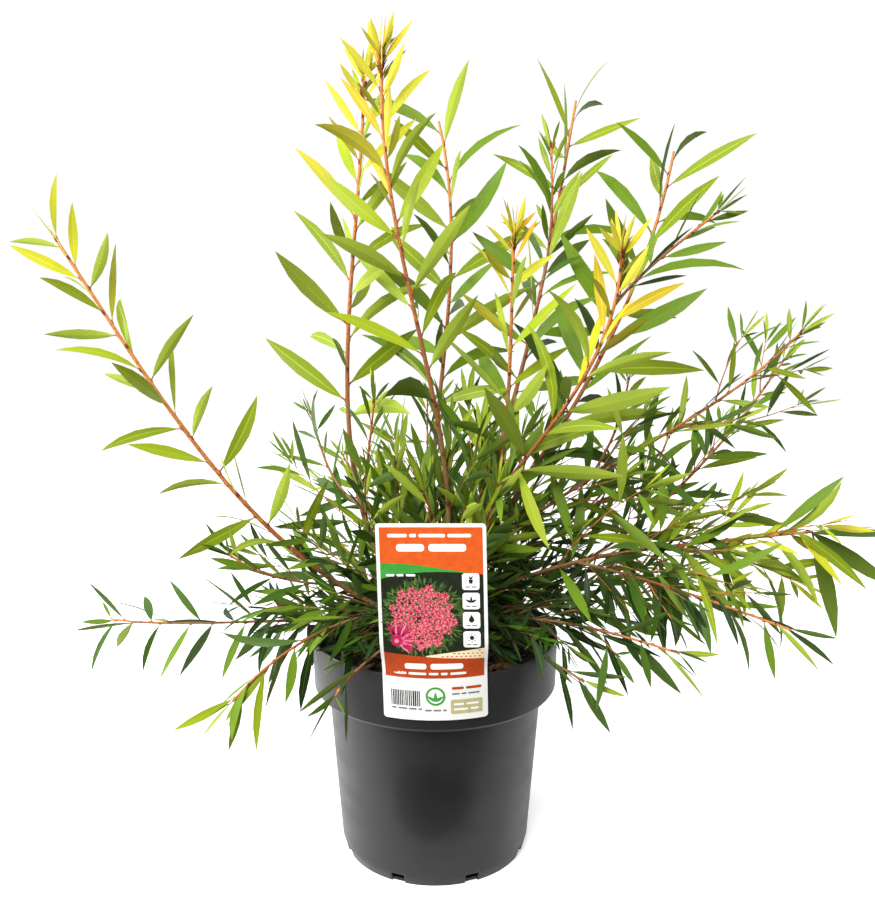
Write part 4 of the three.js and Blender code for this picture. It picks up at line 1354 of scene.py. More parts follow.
blade = bar((0, -1, -1), (1, 1, 1))
cut_across(blade, 0, LEAF_ROWS[1:-1])
cut_across(blade, 1, (-RIB_SHARE, RIB_SHARE))
edit(blade, lambda v: abs(v.co.y) > 1 - NEAR)
bpy.ops.transform.resize(value=(1, 1, 0), center_override=(0, 0, 0))
bpy.ops.mesh.remove_doubles(threshold=NEAR)
done()
for row, width, thickness in zip(LEAF_ROWS, ROW_WIDTHS, ROW_THICKNESS):
    edit(blade, lambda v: abs(v.co.x - row) < NEAR)
    bpy.ops.transform.resize(value=(1, width, thickness), center_override=(row, 0, 0))
    done()
edit(blade)
bpy.ops.mesh.remove_doubles(threshold=NEAR)
done()
face_outwards(blade)


def part_of(face):
    """Which part of the leaf a face belongs to: its stalk, rib, upper blade or lower blade."""
    if face.center.x < LEAF_ROWS[1]:
        return "stalk"
    if abs(face.center.y) < RIB_SHARE / 2:
        return "rib"
    return "upper" if face.normal.z > 0 else "lower"


blade_parts = [part_of(face) for face in blade.data.polygons]
blade_corners, blade_faces = as_shape(blade)
print("one leaf has", len(blade_faces), "faces,", blade_parts.count("upper"), "of them on its upper side")


# %% Let both sides of the leaf split along one line
def from_its_foot(corners):
    """Start a face at its outer corner next to the stalk, where it is later split into triangles."""
    side = 1 if all(blade_corners[corner][1] < NEAR for corner in corners) else -1

    def order(number):
        return tuple(np.round(blade_corners[corners[number]], 3) * (1, side, 0))

    start = min(range(len(corners)), key=order)
    return corners[start:] + corners[:start]


BLADE = (blade_corners, [from_its_foot(corners) for corners in blade_faces])
blade_row = np.argmin(np.abs(blade_corners[:, :1] - LEAF_ROWS), axis=1)
print("corners in each row of the leaf:", np.bincount(blade_row))

# %% [markdown]
# ## Leaf colours
# Young leaves come out gold, turn lime and then green, and old ones at the foot of the plant are dark. A
# ramp could blend the colours along each shoot. Here each tone is a plain base colour on its own material,
# dealt out leaf by leaf, so that the colour stays with the leaf however the meshes are joined or copied.
# The underside, the rib and the stalk have tones of their own; the underside is paler, partly its own
# colour and partly painted light from below. The fine leathery grain comes from noise.

# %% Leaf finishes
TONES = [
    ("leaf_gold", (206, 150, 24), "young"),
    ("leaf_yellow", (192, 168, 40), "young"),
    ("leaf_lime", (190, 190, 42), "young"),
    ("leaf_bright", (150, 166, 34), "fresh"),
    ("leaf_fresh", (126, 145, 31), "fresh"),
    ("leaf_green", (98, 127, 29), "mature"),
    ("leaf_deep", (63, 93, 24), "old"),
    ("leaf_dark", (32, 54, 18), "old"),
]
# The undersides are paler than the tops, partly by their own colour and partly as painted light from below.
LOWER = {"young": (190, 182, 56), "fresh": (148, 167, 56), "mature": (106, 129, 44), "old": (76, 100, 42)}
RIBS = {"young": (208, 198, 66), "fresh": (158, 178, 50), "mature": (103, 132, 38), "old": (66, 92, 34)}
STALKS = {"young": (196, 116, 54), "fresh": (160, 86, 44), "mature": (122, 70, 38), "old": (92, 56, 34)}


def leaf_finish(name, colour, roughness):
    material, tree, shader, place = finish(name, srgb(*colour), roughness, Specular_IOR_Level=0.14)
    gloss_between(tree, shader, grain(tree, place, 120, detail=2), roughness - 0.07, roughness + 0.1)
    return material


leaf_materials = [leaf_finish(name, colour, 0.42) for name, colour, _ in TONES]
slots_of = {}
for kind, table, roughness in (("lower", LOWER, 0.6), ("rib", RIBS, 0.5), ("stalk", STALKS, 0.55)):
    for family, colour in table.items():
        slots_of[kind, family] = len(leaf_materials)
        leaf_materials.append(leaf_finish(f"leaf_{kind}_{family}", colour, roughness))


def tone_slots(tone):
    """The material of every face of one leaf of that tone."""
    family = TONES[tone][2]
    return [tone if part == "upper" else slots_of[part, family] for part in blade_parts]


SLOTS_BY_TONE = np.array([tone_slots(tone) for tone in range(len(TONES))])
print("leaf finishes:", len(leaf_materials))

# %% [markdown]
# ## Bending the leaves
# A flat leaf looks cut from card. Each real one is folded a little along its rib, curved sideways like a
# sickle, arched under its own weight and turned about its length. Simple Deform modifiers could bend one
# leaf, but not thousands. So the rows of the modelled leaf are carried along such a bent line, and all the
# leaves are worked out at once as arrays.

# %% How a leaf is bent
# The means and the luck of its bends, in radians from stalk to tip, and of its width. fold: how far its
# edges rise beside the rib. supple_from: the length from which a leaf bends in full. straight: the places
# along the leaf where it keeps its first heading.
LEAF = {
    "thickness": 0.45, "fold": 0.16, "width_luck": 0.22, "supple_from": 70,
    "sickle_mean": -0.3, "sickle": 0.6, "arch_mean": -0.2, "arch": -0.4, "twist": 0.6,
}
STRAIGHT = {"sickle": 0.35, "arch": 0.25}


def leaf_corners(leaves):
    """The corners of every leaf, as (leaves, corners, 3), in metres."""
    rows = np.array(LEAF_ROWS)
    kinds = ("root", "heading", "wide", "length", "half_width", "sickle", "arch", "twist")
    columns = [np.array([leaf[kind] for leaf in leaves]) for kind in kinds]
    root, heading, wide, length, half, sickle, arch, twist = columns
    face = np.cross(heading, wide)
    down = np.where(face[:, 2] < 0, -1.0, 1.0)[:, None]
    face, wide = face * down, wide * down
    aside = np.tan(sickle[:, None] * (rows - STRAIGHT["sickle"])) * down
    back = np.tan(arch[:, None] * (rows - STRAIGHT["arch"]))
    tangent = heading[:, None] + aside[..., None] * wide[:, None] + back[..., None] * face[:, None]
    tangent /= np.linalg.norm(tangent, axis=2, keepdims=True)
    steps = (tangent[:, 1:] + tangent[:, :-1]) / 2 * np.diff(rows)[None, :, None]
    line = np.concatenate([np.zeros((len(leaves), 1, 3)), np.cumsum(steps, axis=1)], axis=1)
    line = root[:, None] + line * length[:, None, None]
    across = wide[:, None] - np.sum(wide[:, None] * tangent, 2, keepdims=True) * tangent
    across /= np.linalg.norm(across, axis=2, keepdims=True)
    normal = np.cross(tangent, across)
    turn = (twist[:, None] * rows)[..., None]
    turned = across * np.cos(turn) + normal * np.sin(turn)
    normal = normal * np.cos(turn) - across * np.sin(turn)
    x, y, z = blade_corners.T
    sideways = (y[None] * half[:, None])[..., None] * turned[:, blade_row]
    lifted = np.abs(y)[None] * half[:, None] * LEAF["fold"] + z[None] * LEAF["thickness"] / 2
    return (line[:, blade_row] + sideways + lifted[..., None] * normal[:, blade_row]) * MM


def leaf_piece(name, leaves, tones, materials):
    """One piece of many leaves, from the material of each face."""
    return copies(name, BLADE, leaf_corners(leaves), np.ravel(tones), materials, 50)


print("a leaf is", LEAF["thickness"], "mm thick and bends in full from", LEAF["supple_from"], "mm")

# %% [markdown]
# ## A tone for every leaf
# Old wood and low leaves take the darker end of each shoot's tint, and the heart of the plant, low over
# the compost, is darkest: its leaves and twigs get painted shade, a darker tone by place for the shade
# that falls there, so it stays with the plant under any light.

# %% Shape and tone
# by_age, spread: how far the tone wanders, which grows with age. darker: the share of it to the dark side.
SHAPE_DRAWS = {"sickle": 2000, "arch": 3000, "twist": 4000, "width": 5000, "tone": 6000}
TONE_LUCK = {"spread": -1.4, "by_age": 0.5, "darker": 0.5, "youth_power": 1.3}
# The heart of the plant gets painted shade: its leaves and wood are darkened by place.
HEART_SHADE = {"right": 25, "within": 150, "below": 275, "fade": 80, "darker": 1.25, "darker_wood": 3}


def shade_in_heart(place):
    """Painted shade, from 0 outside to 1 in the middle of the plant, low over the compost."""
    inside = (HEART_SHADE["within"] - math.hypot(place[0] - HEART_SHADE["right"], place[1])) / HEART_SHADE["fade"]
    low = (HEART_SHADE["below"] - place[2]) / HEART_SHADE["fade"]
    return float(np.clip(inside, 0, 1) * np.clip(low, 0, 1))


def shaped(leaf, tint):
    """Give a leaf its own bends, width and tone from its number."""
    draw = {kind: chance(leaf["seed"], start + leaf["index"]) for kind, start in SHAPE_DRAWS.items()}
    supple = min(1, leaf["length"] / LEAF["supple_from"])
    leaf["sickle"] = supple * (LEAF["sickle_mean"] + LEAF["sickle"] * draw["sickle"])
    leaf["arch"] = supple * (LEAF["arch_mean"] + LEAF["arch"] * draw["arch"])
    leaf["twist"] = LEAF["twist"] * draw["twist"]
    leaf["half_width"] = leaf["length"] * leaf["width"] / 2 * (1 + LEAF["width_luck"] * draw["width"])
    old, young = tint
    luck = (TONE_LUCK["spread"] + TONE_LUCK["by_age"] * old) * draw["tone"]
    luck *= TONE_LUCK["darker"] if draw["tone"] > 0 else 1
    tone = lerp(old, young, leaf["youth"] ** TONE_LUCK["youth_power"]) + luck
    # Painted shade: a leaf low in the heart of the plant is darkened.
    tone += HEART_SHADE["darker"] * shade_in_heart(leaf["root"])
    leaf["tone"] = int(np.clip(round(tone), 0, len(TONES) - 1))
    return leaf


print("in the heart a leaf is up to", HEART_SHADE["darker"], "tones darker")

# %% [markdown]
# ## Growing the crown
# The shoots are dealt into groups that are seen together, and every group becomes four pieces: its limbs,
# its side twigs, its leaves and its small leaves. One mesh would do, but a plant in groups is easier to
# look through and to colour. The low, dense heart of the plant has more twigs than the coarse solids can
# carry: they grow by the same rule, from the bare lower parts of the boughs, and short undergrowth stands
# close over the compost, so that nothing leaves the crown's own reach. Its leaves take the darkest tints,
# as painted shade low in the heart.

# %% Groups
# The bark's tones at the foot and at the tip of each group, from 0, painted shade, to 6, young.
BARK_RANGE = {
    "upright": (1.6, 5.8), "sweep": (3.2, 6.2), "right": (2.6, 5.8),
    "left": (1.4, 5.2), "rear": (1.0, 4.2), "heart": (1.0, 4.0),
}
GROUPS = {group: [name for name in SHOOTS if shoots[name]["group"] == group] for group in BARK_RANGE}
YOUNG_GROUPS = ("upright", "sweep")
print("groups:", {group: len(members) for group, members in GROUPS.items()})

# %% Keep clear of the pot and the card
card_low, card_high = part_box("label_card")
CLEAR = {"gap": 1.5, "leaf": 3, "twig": 1}


def touches(points, half):
    """True where any point of a leaf or twig would lie in the pot or its compost, or hide the card."""
    x, y, z = points.T * MM
    reach = np.hypot(x, y)
    margin = (half + CLEAR["gap"]) * MM
    by_wall = reach < RIM + margin
    in_wall = (reach > SOIL_RADIUS - margin) & by_wall & (z < RIM_HEIGHT + margin)
    in_soil = (reach < RIM) & (z < SOIL_TOP + margin) | by_wall & (z < SOIL_TOP)
    beside = (x > card_low.x - margin) & (x < card_high.x + margin)
    in_card = beside & (y < margin - RIM) & (z < card_high.z + margin)
    return bool(np.any(in_wall | in_soil | in_card))


def leaf_line(leaf):
    return leaf["root"] + np.outer(np.linspace(0.1, 1, 7), leaf["heading"] * leaf["length"])


def clear_twigs(twigs):
    return [twig for twig in twigs if not touches(twig["curve"].points, CLEAR["twig"])]


print("leaves stay", CLEAR["gap"] + CLEAR["leaf"], "mm clear of the pot")

# %% Finer twigs
# gap, reach: how far apart the fine twigs are and how long. start, stop: shares of the shoot's length.
# leaf: the length of their leaves. habit: the habit they grow by, where it isn't the shoot's own.
FINE_TALL = {"gap": 15, "reach": 76, "start": 0.05, "stop": 0.27, "leaf": 54, "habit": SHORT}
FINE_LEVEL = {"gap": 12, "reach": 50, "start": 0.05, "stop": 0.45, "leaf": 48}
FINE_PLANS = (
    (TALL, FINE_TALL),
    (CUT, FINE_TALL),
    (SWEEP, {"gap": 10, "reach": 72, "start": 0.03, "stop": 0.2, "leaf": 50, "habit": SHORT}),
    (SPRAY, {"gap": 27, "reach": 58, "start": 0.05, "stop": 0.5, "leaf": 48}),
    (ARM, {"gap": 12, "reach": 60, "start": 0.5, "stop": 0.8, "leaf": 52, "habit": SHORT}),
    (HANGING, {"gap": 9.5, "reach": 42, "start": 0.06, "stop": 0.52, "leaf": 42}),
    (TRAILING, FINE_LEVEL),
    (LEVEL, FINE_LEVEL),
    (SHORT, {"gap": 18, "reach": 44, "start": 0.15, "stop": 0.7, "leaf": 48}),
)
FINE = {"opening": 36, "seed": 40, "highest": 315, "thick": 0.9, "tall_tint": (5.9, 4.2)}
# The undergrowth's tint is the darkest of all: painted shade low in the heart.
UNDERGROWTH = {
    "gap": 5.5, "reach": 38, "start": 0.1, "stop": 0.5, "leaf": 36,
    "within": 105, "below": 224, "seed": 74, "tint": (7.4, 6.6),
}


def planned_twigs(shoot, plan, number):
    """Twigs too fine for the solids, by the same rule, set between the others and on the bare bough."""
    first = plan["start"] * shoot["length"]
    count = int((plan["stop"] - plan["start"]) * shoot["length"] // plan["gap"])
    stem = {**shoot, "habit": plan.get("habit", shoot["habit"])}
    style = (plan["reach"], FINE["opening"], plan["leaf"], FINE["thick"])
    twigs = [twig_on_stem(stem, number + k, first + k * plan["gap"], *style) for k in range(count)]
    return [twig for twig in twigs if twig["curve"].points[0][2] < FINE["highest"]]


def fine_twigs(shoot):
    plan = next((fine for habit, fine in FINE_PLANS if shoot["habit"] is habit), None)
    return planned_twigs(shoot, plan, FINE["seed"]) if plan else []


def undergrowth(shoot):
    """Short twigs over the compost, darkest as painted shade, on the feet of the low boughs."""
    if shoot["parent"] or shoot["habit"] is SWEEP:
        return []
    twigs = planned_twigs(shoot, UNDERGROWTH, UNDERGROWTH["seed"])
    feet = [twig["curve"].points[0] for twig in twigs]
    return [
        twig for twig, (x, y, z) in zip(twigs, feet)
        if math.hypot(x, y) < UNDERGROWTH["within"] and z < UNDERGROWTH["below"]
    ]


print("fine twigs on right_low:", len(fine_twigs(shoots["right_low"])))

# %% Leaves at the tips
# The youngest leaves stand close round a tip, from its side to its end. sizes: for slim shoots and for
# sprays. The heavy arm on the right ends in long hanging leaves instead.
BUD = {
    "sizes": (0.42, 0.16), "spray_sizes": (0.62, 0.36), "open": (10, 42),
    "places": (0.985, 0.997), "seed": 90,
}
HANGING_TIP = {"shoot": "right_low", "count": 3, "sizes": (1.0, 1.2), "sags": (0.0, 2.2)}


def bud_leaves(stem):
    found = []
    hangs = stem["name"] == HANGING_TIP["shoot"]
    slim = stem["habit"]["girth"] == 1 or stem["name"] in GROUPS["rear"]
    sizes = HANGING_TIP["sizes"] if hangs else BUD["sizes"] if slim else BUD["spray_sizes"]
    count = HANGING_TIP["count"] if hangs else stem["habit"]["buds"]
    along = stem["curve"].along(1)
    for number in range(count):
        share = number / max(1, count - 1)
        leaf = leaf_on_stem(stem, BUD["seed"] + number, stem["length"] * lerp(*BUD["places"], share))
        lean = math.radians(lerp(*BUD["open"], share))
        heading = along * math.cos(lean) + leaf["out"] * math.sin(lean)
        heading[2] -= lerp(*HANGING_TIP["sags"], share) if hangs else 0
        leaf["heading"] = unit(heading)
        leaf["wide"] = unit(along - np.dot(along, leaf["heading"]) * leaf["heading"])
        leaf["length"] = stem["leaf"] * lerp(*sizes, share)
        leaf["youth"] = 0 if hangs else 1.0
        found.append(leaf)
    return found


print("leaves at the tip of tall_front:", len(bud_leaves(shoots["tall_front"])))

# %% One leaf that hangs alone
LOW_LEAF = {
    "shoot": "front_arch", "place": 0.46, "length": 66, "youth": 0.4,
    "heading": np.array((0.3, -0.4, -0.85)), "facing": (0.2, -1.0, 0.6),
}


def low_leaf(stem):
    """One long leaf hangs in front of the heart, from the bare part of the arching shoot."""
    if stem["name"] != LOW_LEAF["shoot"]:
        return []
    leaf = leaf_on_stem(stem, BUD["seed"] - 1, LOW_LEAF["place"] * stem["length"])
    leaf["heading"] = unit(LOW_LEAF["heading"])
    leaf["wide"] = unit(np.cross(leaf["heading"], LOW_LEAF["facing"]))
    leaf["length"] = LOW_LEAF["length"]
    leaf["youth"] = LOW_LEAF["youth"]
    return [leaf]


print("a leaf of", LOW_LEAF["length"], "mm hangs alone from", LOW_LEAF["shoot"])


# %% Grow every shoot
def leafy(stem, tint):
    """The leaves of a stem that lie clear of the pot and the card, in their own shape and tone."""
    leaves = leaves_on_stem(stem) + bud_leaves(stem) + low_leaf(stem)
    return [shaped(leaf, tint) for leaf in leaves if not touches(leaf_line(leaf), CLEAR["leaf"])]


def twig_leaves(twigs, tint):
    """Leaves of twigs: younger in tone the higher their twig sits, the lowest darkened as painted shade."""
    old, young = tint
    found = []
    for twig in twigs:
        # A low twig's leaves start one tone darker than the shoot's oldest: painted shade.
        found += leafy(twig, (old, lerp(old - 1, young, twig["foot_share"] ** 2)))
    return found


grown = {}
for name, shoot in shoots.items():
    main, fine, under = (clear_twigs(found(shoot)) for found in (twigs_on_stem, fine_twigs, undergrowth))
    fine_tint = FINE["tall_tint"] if shoot["group"] in YOUNG_GROUPS else shoot["tint"]
    grown[name] = {
        "twigs": main,
        "fine": fine + under,
        "leaves": leafy(shoot, shoot["tint"]) + twig_leaves(main, shoot["tint"]),
        "fine_leaves": twig_leaves(fine, fine_tint) + twig_leaves(under, UNDERGROWTH["tint"]),
    }
for kind in ("twigs", "fine", "leaves", "fine_leaves"):
    print(kind, sum(len(g[kind]) for g in grown.values()))

# %% [markdown]
# ## Wood
# A limb could be a curve with a bevel, but then it would be a smooth pipe. Here it is a straight rod of
# many collars, carried along its shoot's curve and tapered. Every leaf, and every leaf that has fallen,
# sits on a small cushion of bark, so the rod swells at those places. Fine furrows run along old wood.


# %% Model the rods
def rod(collars, sides):
    """A closed straight rod of that many collars, from height 0 to 1, of radius 1."""
    bpy.ops.mesh.primitive_cylinder_add(vertices=sides, radius=1, depth=1, end_fill_type="NOTHING")
    piece = bpy.context.object
    row = piece.modifiers.new("row", "ARRAY")
    row.count = collars
    row.use_relative_offset = True
    row.relative_offset_displace = (0, 0, 1)
    row.use_merge_vertices = True
    row.merge_threshold = NEAR
    finish_modifiers(piece)
    edit(piece)
    bpy.ops.mesh.fill_holes(sides=0)
    bpy.ops.mesh.normals_make_consistent(inside=False)
    done()
    corners, faces = as_shape(piece)
    corners[:, 2] = (corners[:, 2] + 0.5) / collars
    return corners, faces


LIMB_ROD = rod(240, 10)
TWIG_ROD = rod(18, 5)
print("a limb has", len(LIMB_ROD[1]), "faces and a twig", len(TWIG_ROD[1]))

# %% Carry a rod along a stem
# height, long, wide: of a leaf's cushion. scarred: the share of its height from which the bark is scarred.
NODE = {"height": 0.9, "long": 1.5, "wide": 0.7, "scarred": 0.7}
FURROW = {"depth": 0.05, "around": 2.2, "per_mm": 0.09}


def swollen(reach, angle, nodes, height):
    """How far the bark stands out at each place, for the leaf cushions at (reach, angle)."""
    out = np.zeros_like(reach)
    for at, turn in nodes:
        off = np.abs((angle - turn + np.pi) % (2 * np.pi) - np.pi)
        out += height * np.exp(-(((reach - at) / NODE["long"]) ** 2) - (off / NODE["wide"]) ** 2)
    return out


def furrows(reach, angle, seed):
    """Noise along the wood and round it, stretched along the grain."""
    around = FURROW["around"]
    places = np.stack([np.cos(angle) * around, np.sin(angle) * around, reach * FURROW["per_mm"] + seed], 1)
    return np.array([noise.noise(Vector(place)) for place in places])


def carried_rod(rod_shape, stem, radius, nodes, node_height, depth):
    """A rod's corners carried along a stem, in millimetres, with their shares of its length and swell."""
    corners, _ = rod_shape
    share = corners[:, 2]
    angle = np.arctan2(corners[:, 1], corners[:, 0])
    rings, where = np.unique(np.round(share, 6), return_inverse=True)
    centres = np.array([stem["curve"].at(s) for s in rings])
    _, across, third = np.transpose([frame_at(stem, s) for s in rings], (1, 0, 2))[:, where]
    out = across * np.cos(angle)[:, None] + third * np.sin(angle)[:, None]
    thick = radius(share)
    if depth:
        thick = thick * (1 + depth * furrows(share * stem["length"], angle, stem["seed"]))
    swell = swollen(share * stem["length"], angle, nodes, node_height)
    return centres[where] + out * (thick + swell)[:, None], share, swell


print("a leaf's cushion is", NODE["height"], "mm high")

# %% [markdown]
# The bark goes from grey tan at the foot to orange red at the tip. Each tone is a plain base colour with
# fine fibres along the grain. The tones are mixed face by face with a little chance, so no band shows
# where one ends, and in the heart of the plant they are darkened as painted shade. A vertex colour could
# do the same, but plain tones survive wherever the meshes are joined or copied.


# %% Bark finishes
BARK_TONES = [
    # The darkest bark tone is painted shade, for wood low in the heart of the plant.
    ("bark_shade", (52, 42, 30)),
    ("bark_grey", (96, 78, 54)),
    ("bark_tan", (146, 114, 72)),
    ("bark_brown", (136, 95, 56)),
    ("bark_red_brown", (158, 94, 50)),
    ("bark_orange", (200, 124, 62)),
    ("bark_young", (216, 142, 74)),
    ("bark_scar", (112, 60, 40)),
]
SCAR_TONE = len(BARK_TONES) - 1
bark_materials = []
for name, colour in BARK_TONES:
    colour = srgb(*colour)
    material, tree, shader, place = finish(name, colour, 0.6, Specular_IOR_Level=0.25)
    fibre = grain(tree, place, 900, detail=4, stretch=(3, 3, 0.5))
    colour_between(tree, shader, fibre, tuple(0.62 * c for c in colour), colour, 0.3, 0.55)
    gloss_between(tree, shader, fibre, 0.7, 0.5)
    relief(tree, shader, fibre, depth=0.4 * MM, strength=0.6)
    bark_materials.append(material)
print("bark finishes:", len(bark_materials))


def bark_tones(rod_shape, corners, shares, seed, low, high):
    """One bark tone for each face, from low at the foot to high at the tip; painted shade in the heart."""
    luck = np.random.default_rng(seed)
    share = np.array([shares[list(face)].mean() for face in rod_shape[1]])
    # Painted shade: faces low in the heart of the plant take darker bark tones.
    deep = np.array([shade_in_heart(corners[face[0]]) for face in rod_shape[1]])
    tone = lerp(low, high, share) + luck.uniform(-0.6, 0.6, len(share)) - HEART_SHADE["darker_wood"] * deep
    return np.clip(np.round(tone), 0, SCAR_TONE - 1).astype(int)


# %% Limbs and twigs as arrays
# How wood ends: the share of the length over which it closes, and how thick it still is at its tip.
LIMB_END = {"over": 0.015, "cut": 0.9, "grown": 0.25}
TWIG_END = {"over": 0.05, "grown": 0.3}


def closing(stem, over, thick_at_tip):
    """A stem's radius, that closes towards its tip."""
    return lambda share: stem["radius"](share) * np.clip((1 - share) / over, thick_at_tip, 1)


def limb_arrays(shoot):
    """The corners and bark tones of a limb, with cushions under its leaves and where leaves have fallen."""
    radius = closing(shoot, LIMB_END["over"], LIMB_END["cut" if shoot["habit"] is CUT else "grown"])
    own = [leaf for leaf in grown[shoot["name"]]["leaves"] if leaf["seed"] == shoot["seed"]]
    nodes = [(leaf["share"] * shoot["length"], leaf["turn"]) for leaf in own]
    bare = np.arange(2 * shoot["gap"], shoot["leaf_from"] * shoot["length"], shoot["gap"])
    nodes += [(at, math.radians(k * GOLDEN_ANGLE)) for k, at in enumerate(bare)]
    corners, share, swell = carried_rod(LIMB_ROD, shoot, radius, nodes, NODE["height"], FURROW["depth"])
    swells = np.array([swell[list(face)].max() for face in LIMB_ROD[1]])
    tones = bark_tones(LIMB_ROD, corners, share, shoot["seed"], *BARK_RANGE[shoot["group"]])
    tones[swells > NODE["scarred"] * NODE["height"]] = SCAR_TONE
    return corners, tones


def twig_arrays(twig, group):
    radius = closing(twig, TWIG_END["over"], TWIG_END["grown"])
    corners, share, _ = carried_rod(TWIG_ROD, twig, radius, [], 0, 0)
    low, high = BARK_RANGE[group]
    return corners, bark_tones(TWIG_ROD, corners, share, twig["seed"], low + 1, high)


def wood_piece(name, rod_shape, arrays, degrees):
    corners, tones = (np.array(part) for part in zip(*arrays))
    return copies(name, rod_shape, corners * MM, tones.ravel(), bark_materials, degrees)


print("a twig closes over the last", TWIG_END["over"], "of its length")


# %% Make the limbs and twigs of each group
for group, members in GROUPS.items():
    limbs = wood_piece(f"limbs_{group}", LIMB_ROD, [limb_arrays(shoots[name]) for name in members], 50)
    boughs = [f"bough_{name}" for name in members if shoots[name]["bough"]]
    place_on_root(limbs, "bark", *boughs)
    twigs = [twig for name in members for twig in grown[name]["twigs"] + grown[name]["fine"]]
    arrays = [twig_arrays(twig, group) for twig in twigs]
    place_on_root(wood_piece(f"twigs_{group}", TWIG_ROD, arrays, 60), "bark")

# %% [markdown]
# ## Bud scales
# The tallest shoots end in a spike of brown bud scales, where the next flowers and leaves will break. They
# could be cones, but a scale is a tiny leaf. So it is the same modelled blade, short and wide, in brown
# and rust, set close round the tip. Its tones are partly painted light, lighter against the shade
# between the close scales.

# %% Set the bud scales
# The scale tones are partly painted light: lighter, against the shade between the close scales.
SCALE_TONES = (
    ("scale_brown", (112, 70, 38)),
    ("scale_rust", (184, 104, 48)),
    ("scale_olive", (146, 134, 46)),
)
SCALE_ORDER = (0, 1, 0, 2)
SPIKES = {"tall_front": 26, "tall_left": 9, "gold_middle": 8, "front_arch": 12, "back_bud": 6}
SPIKE = {"places": (0.955, 1), "length": (9, 5), "width": 0.34, "open": (34, 12), "seed": 300}
scales = []
for name, count in SPIKES.items():
    shoot = shoots[name]
    for number in range(count):
        share = number / count
        scale = leaf_on_stem(shoot, SPIKE["seed"] + number, shoot["length"] * lerp(*SPIKE["places"], share))
        along = shoot["curve"].along(scale["share"])
        lean = math.radians(lerp(*SPIKE["open"], share))
        scale["heading"] = unit(along * math.cos(lean) + scale["out"] * math.sin(lean))
        scale["wide"] = unit(np.cross(scale["heading"], scale["out"]))
        scale["length"] = lerp(*SPIKE["length"], share)
        shaped(scale, (0, 0))
        scale["half_width"] = scale["length"] * SPIKE["width"] / 2
        scale["tone"] = SCALE_ORDER[number % len(SCALE_ORDER)]
        scales.append(scale)
print("bud scales:", len(scales))


# %% Small leaves of one tone each
def plain_leaf_piece(name, leaves, tones, roughness):
    """Many small leaves, of which each is one tone all over."""
    materials = [leaf_finish(tone, colour, roughness) for tone, colour in tones]
    return leaf_piece(name, leaves, np.repeat([leaf["tone"] for leaf in leaves], len(BLADE[1])), materials)


place_on_root(plain_leaf_piece("bud_scales", scales, SCALE_TONES, 0.55), "young_leaves")

# %% [markdown]
# ## Leaves of every group
# A shoot's own leaves stand for its coarse mass in the frame, and the small leaves of the finer twigs fill
# in between them. The two could be one mesh, but a mesh that is too large is thinned when it is stored.

# %% Make the leaves of each group
def toned_leaf_piece(name, leaves):
    return leaf_piece(name, leaves, SLOTS_BY_TONE[[leaf["tone"] for leaf in leaves]], leaf_materials)


for group, members in GROUPS.items():
    leaves = [leaf for name in members for leaf in grown[name]["leaves"]]
    slot = "young_leaves" if group in YOUNG_GROUPS else "mature_leaves"
    foliage = [f"foliage_{name}" for name in members]
    place_on_root(toned_leaf_piece(f"leaves_{group}", leaves), slot, *foliage)
    small = [leaf for name in members for leaf in grown[name]["fine_leaves"]]
    place_on_root(toned_leaf_piece(f"small_leaves_{group}", small), "mature_leaves")

# %% [markdown]
# ## Fallen leaves
# Old leaves drop on the compost and dry there. They curl more than fresh ones and turn tan, brown or grey.
# They could be modelled one by one, but they are the same blade again, laid flat on the ground and turned
# at random.

# %% Leaf litter
LITTER = {
    "count": 90, "length": (22, 48), "width": (0.14, 0.2), "lift": 1.6, "from_wall": 26, "seed": 17,
    "rise": (-0.02, 0.08), "tilt": 0.4, "sickle": (-0.5, 0.5), "arch": (-0.5, 0.2), "twist": (-0.8, 0.8),
}
LITTER_TONES = (
    ("litter_tan", (142, 106, 66)),
    ("litter_brown", (92, 62, 38)),
    ("litter_grey", (74, 66, 50)),
)
luck = np.random.default_rng(LITTER["seed"])
litter = []
for _ in range(LITTER["count"]):
    out = (SOIL_RADIUS / MM - LITTER["from_wall"]) * math.sqrt(luck.uniform(0.03, 1))
    around, turn = luck.uniform(0, 2 * math.pi, 2)
    x, y = out * math.cos(around), out * math.sin(around)
    heading = unit(np.array([math.cos(turn), math.sin(turn), luck.uniform(*LITTER["rise"])]))
    length = luck.uniform(*LITTER["length"])
    litter.append({
        "root": np.array([x, y, ground(x * MM, y * MM) / MM + LITTER["lift"]]) - heading * length / 2,
        "heading": heading,
        "wide": unit(np.cross([0, luck.uniform(-LITTER["tilt"], LITTER["tilt"]), 1], heading)),
        "length": length,
        "sickle": luck.uniform(*LITTER["sickle"]),
        "arch": luck.uniform(*LITTER["arch"]),
        "twist": luck.uniform(*LITTER["twist"]),
        "half_width": length * luck.uniform(*LITTER["width"]) / 2,
        "tone": luck.choice(len(LITTER_TONES), p=(0.3, 0.4, 0.3)),
    })
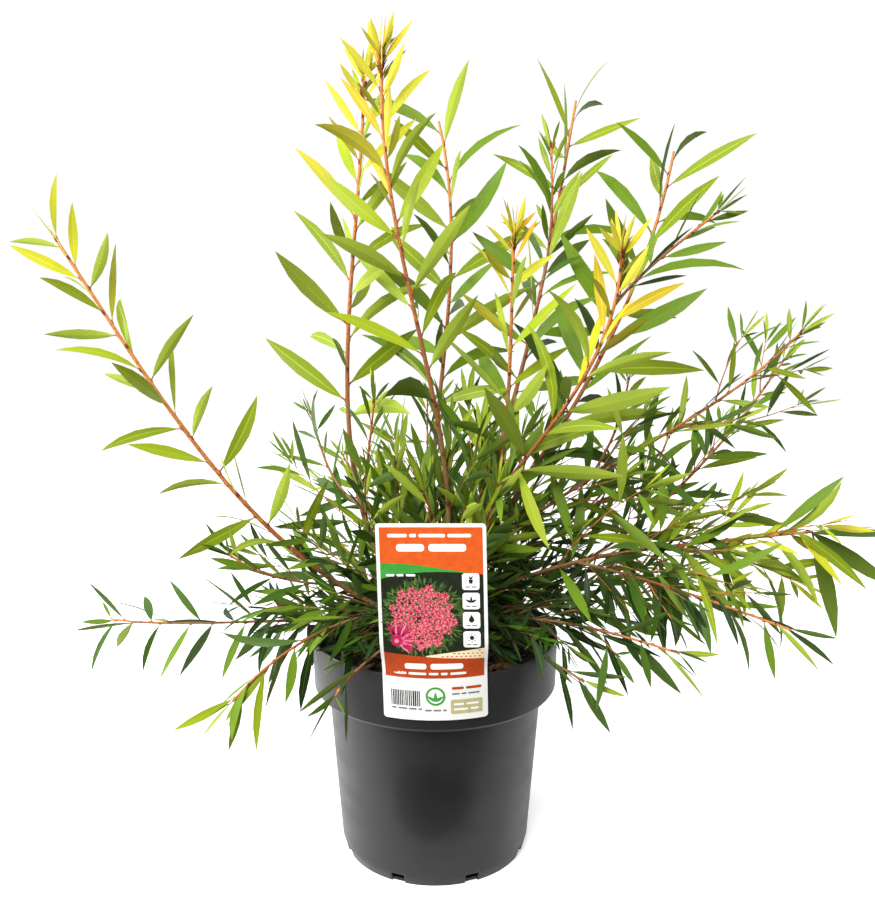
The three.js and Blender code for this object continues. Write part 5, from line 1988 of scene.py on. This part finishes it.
place_on_root(plain_leaf_piece("fallen_leaves", litter, LITTER_TONES, 0.75), "soil")

# %% [markdown]
# ## The trunk
# The shoots spring from one short stem that flares out where it meets the compost. It could be a rod like
# the limbs, but it is short and stout. So it is raised ring by ring like the pot, and then gets the
# furrows and the lobes of old bark.

# %% Raise the trunk
TRUNK_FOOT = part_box("trunk")[0].z
TRUNK = {"flare": 12 * MM, "neck": 8 * MM, "neck_height": 12 * MM, "top": 6.5 * MM, "top_height": 39 * MM}
TRUNK_TOP = ((0.75, 2 * MM), (0.35, 1 * MM))
TRUNK_RINGS = 16
TRUNK_BARK = {"furrow": 0.14, "around": 3, "per_metre": 60, "lobe": 0.06, "lobes": 5, "twist": 40}


def trunk_radius(height):
    if height < TRUNK["neck_height"]:
        drop = 1 - height / TRUNK["neck_height"]
        return lerp(TRUNK["neck"], TRUNK["flare"], drop**2)
    rise = (height - TRUNK["neck_height"]) / (TRUNK["top_height"] - TRUNK["neck_height"])
    return lerp(TRUNK["neck"], TRUNK["top"], min(1, rise))


heights = [TRUNK["top_height"] * (i + 1) / TRUNK_RINGS for i in range(TRUNK_RINGS)]
rings = [(trunk_radius(h), TRUNK_FOOT + h) for h in heights]
for share, step in TRUNK_TOP:
    rings.append((TRUNK["top"] * share, rings[-1][1] + step))
trunk = raise_rings((TRUNK["flare"], TRUNK_FOOT), rings, 36)
for vertex in trunk.data.vertices:
    x, y, z = vertex.co
    around = math.atan2(y, x)
    place = outward(Vector((1, 0, 0)), Vector((0, 1, 0)), around) * TRUNK_BARK["around"]
    place.z = z * TRUNK_BARK["per_metre"]
    lobes = math.cos(TRUNK_BARK["lobes"] * around + TRUNK_BARK["twist"] * z)
    swell = 1 + TRUNK_BARK["furrow"] * noise.noise(place) + TRUNK_BARK["lobe"] * lobes
    vertex.co.x *= swell
    vertex.co.y *= swell
smooth(trunk, 60)
settle(trunk, "trunk_bark")
trunk.data.materials.append(bark_materials[1])
place_on_root(trunk, "bark", "trunk")
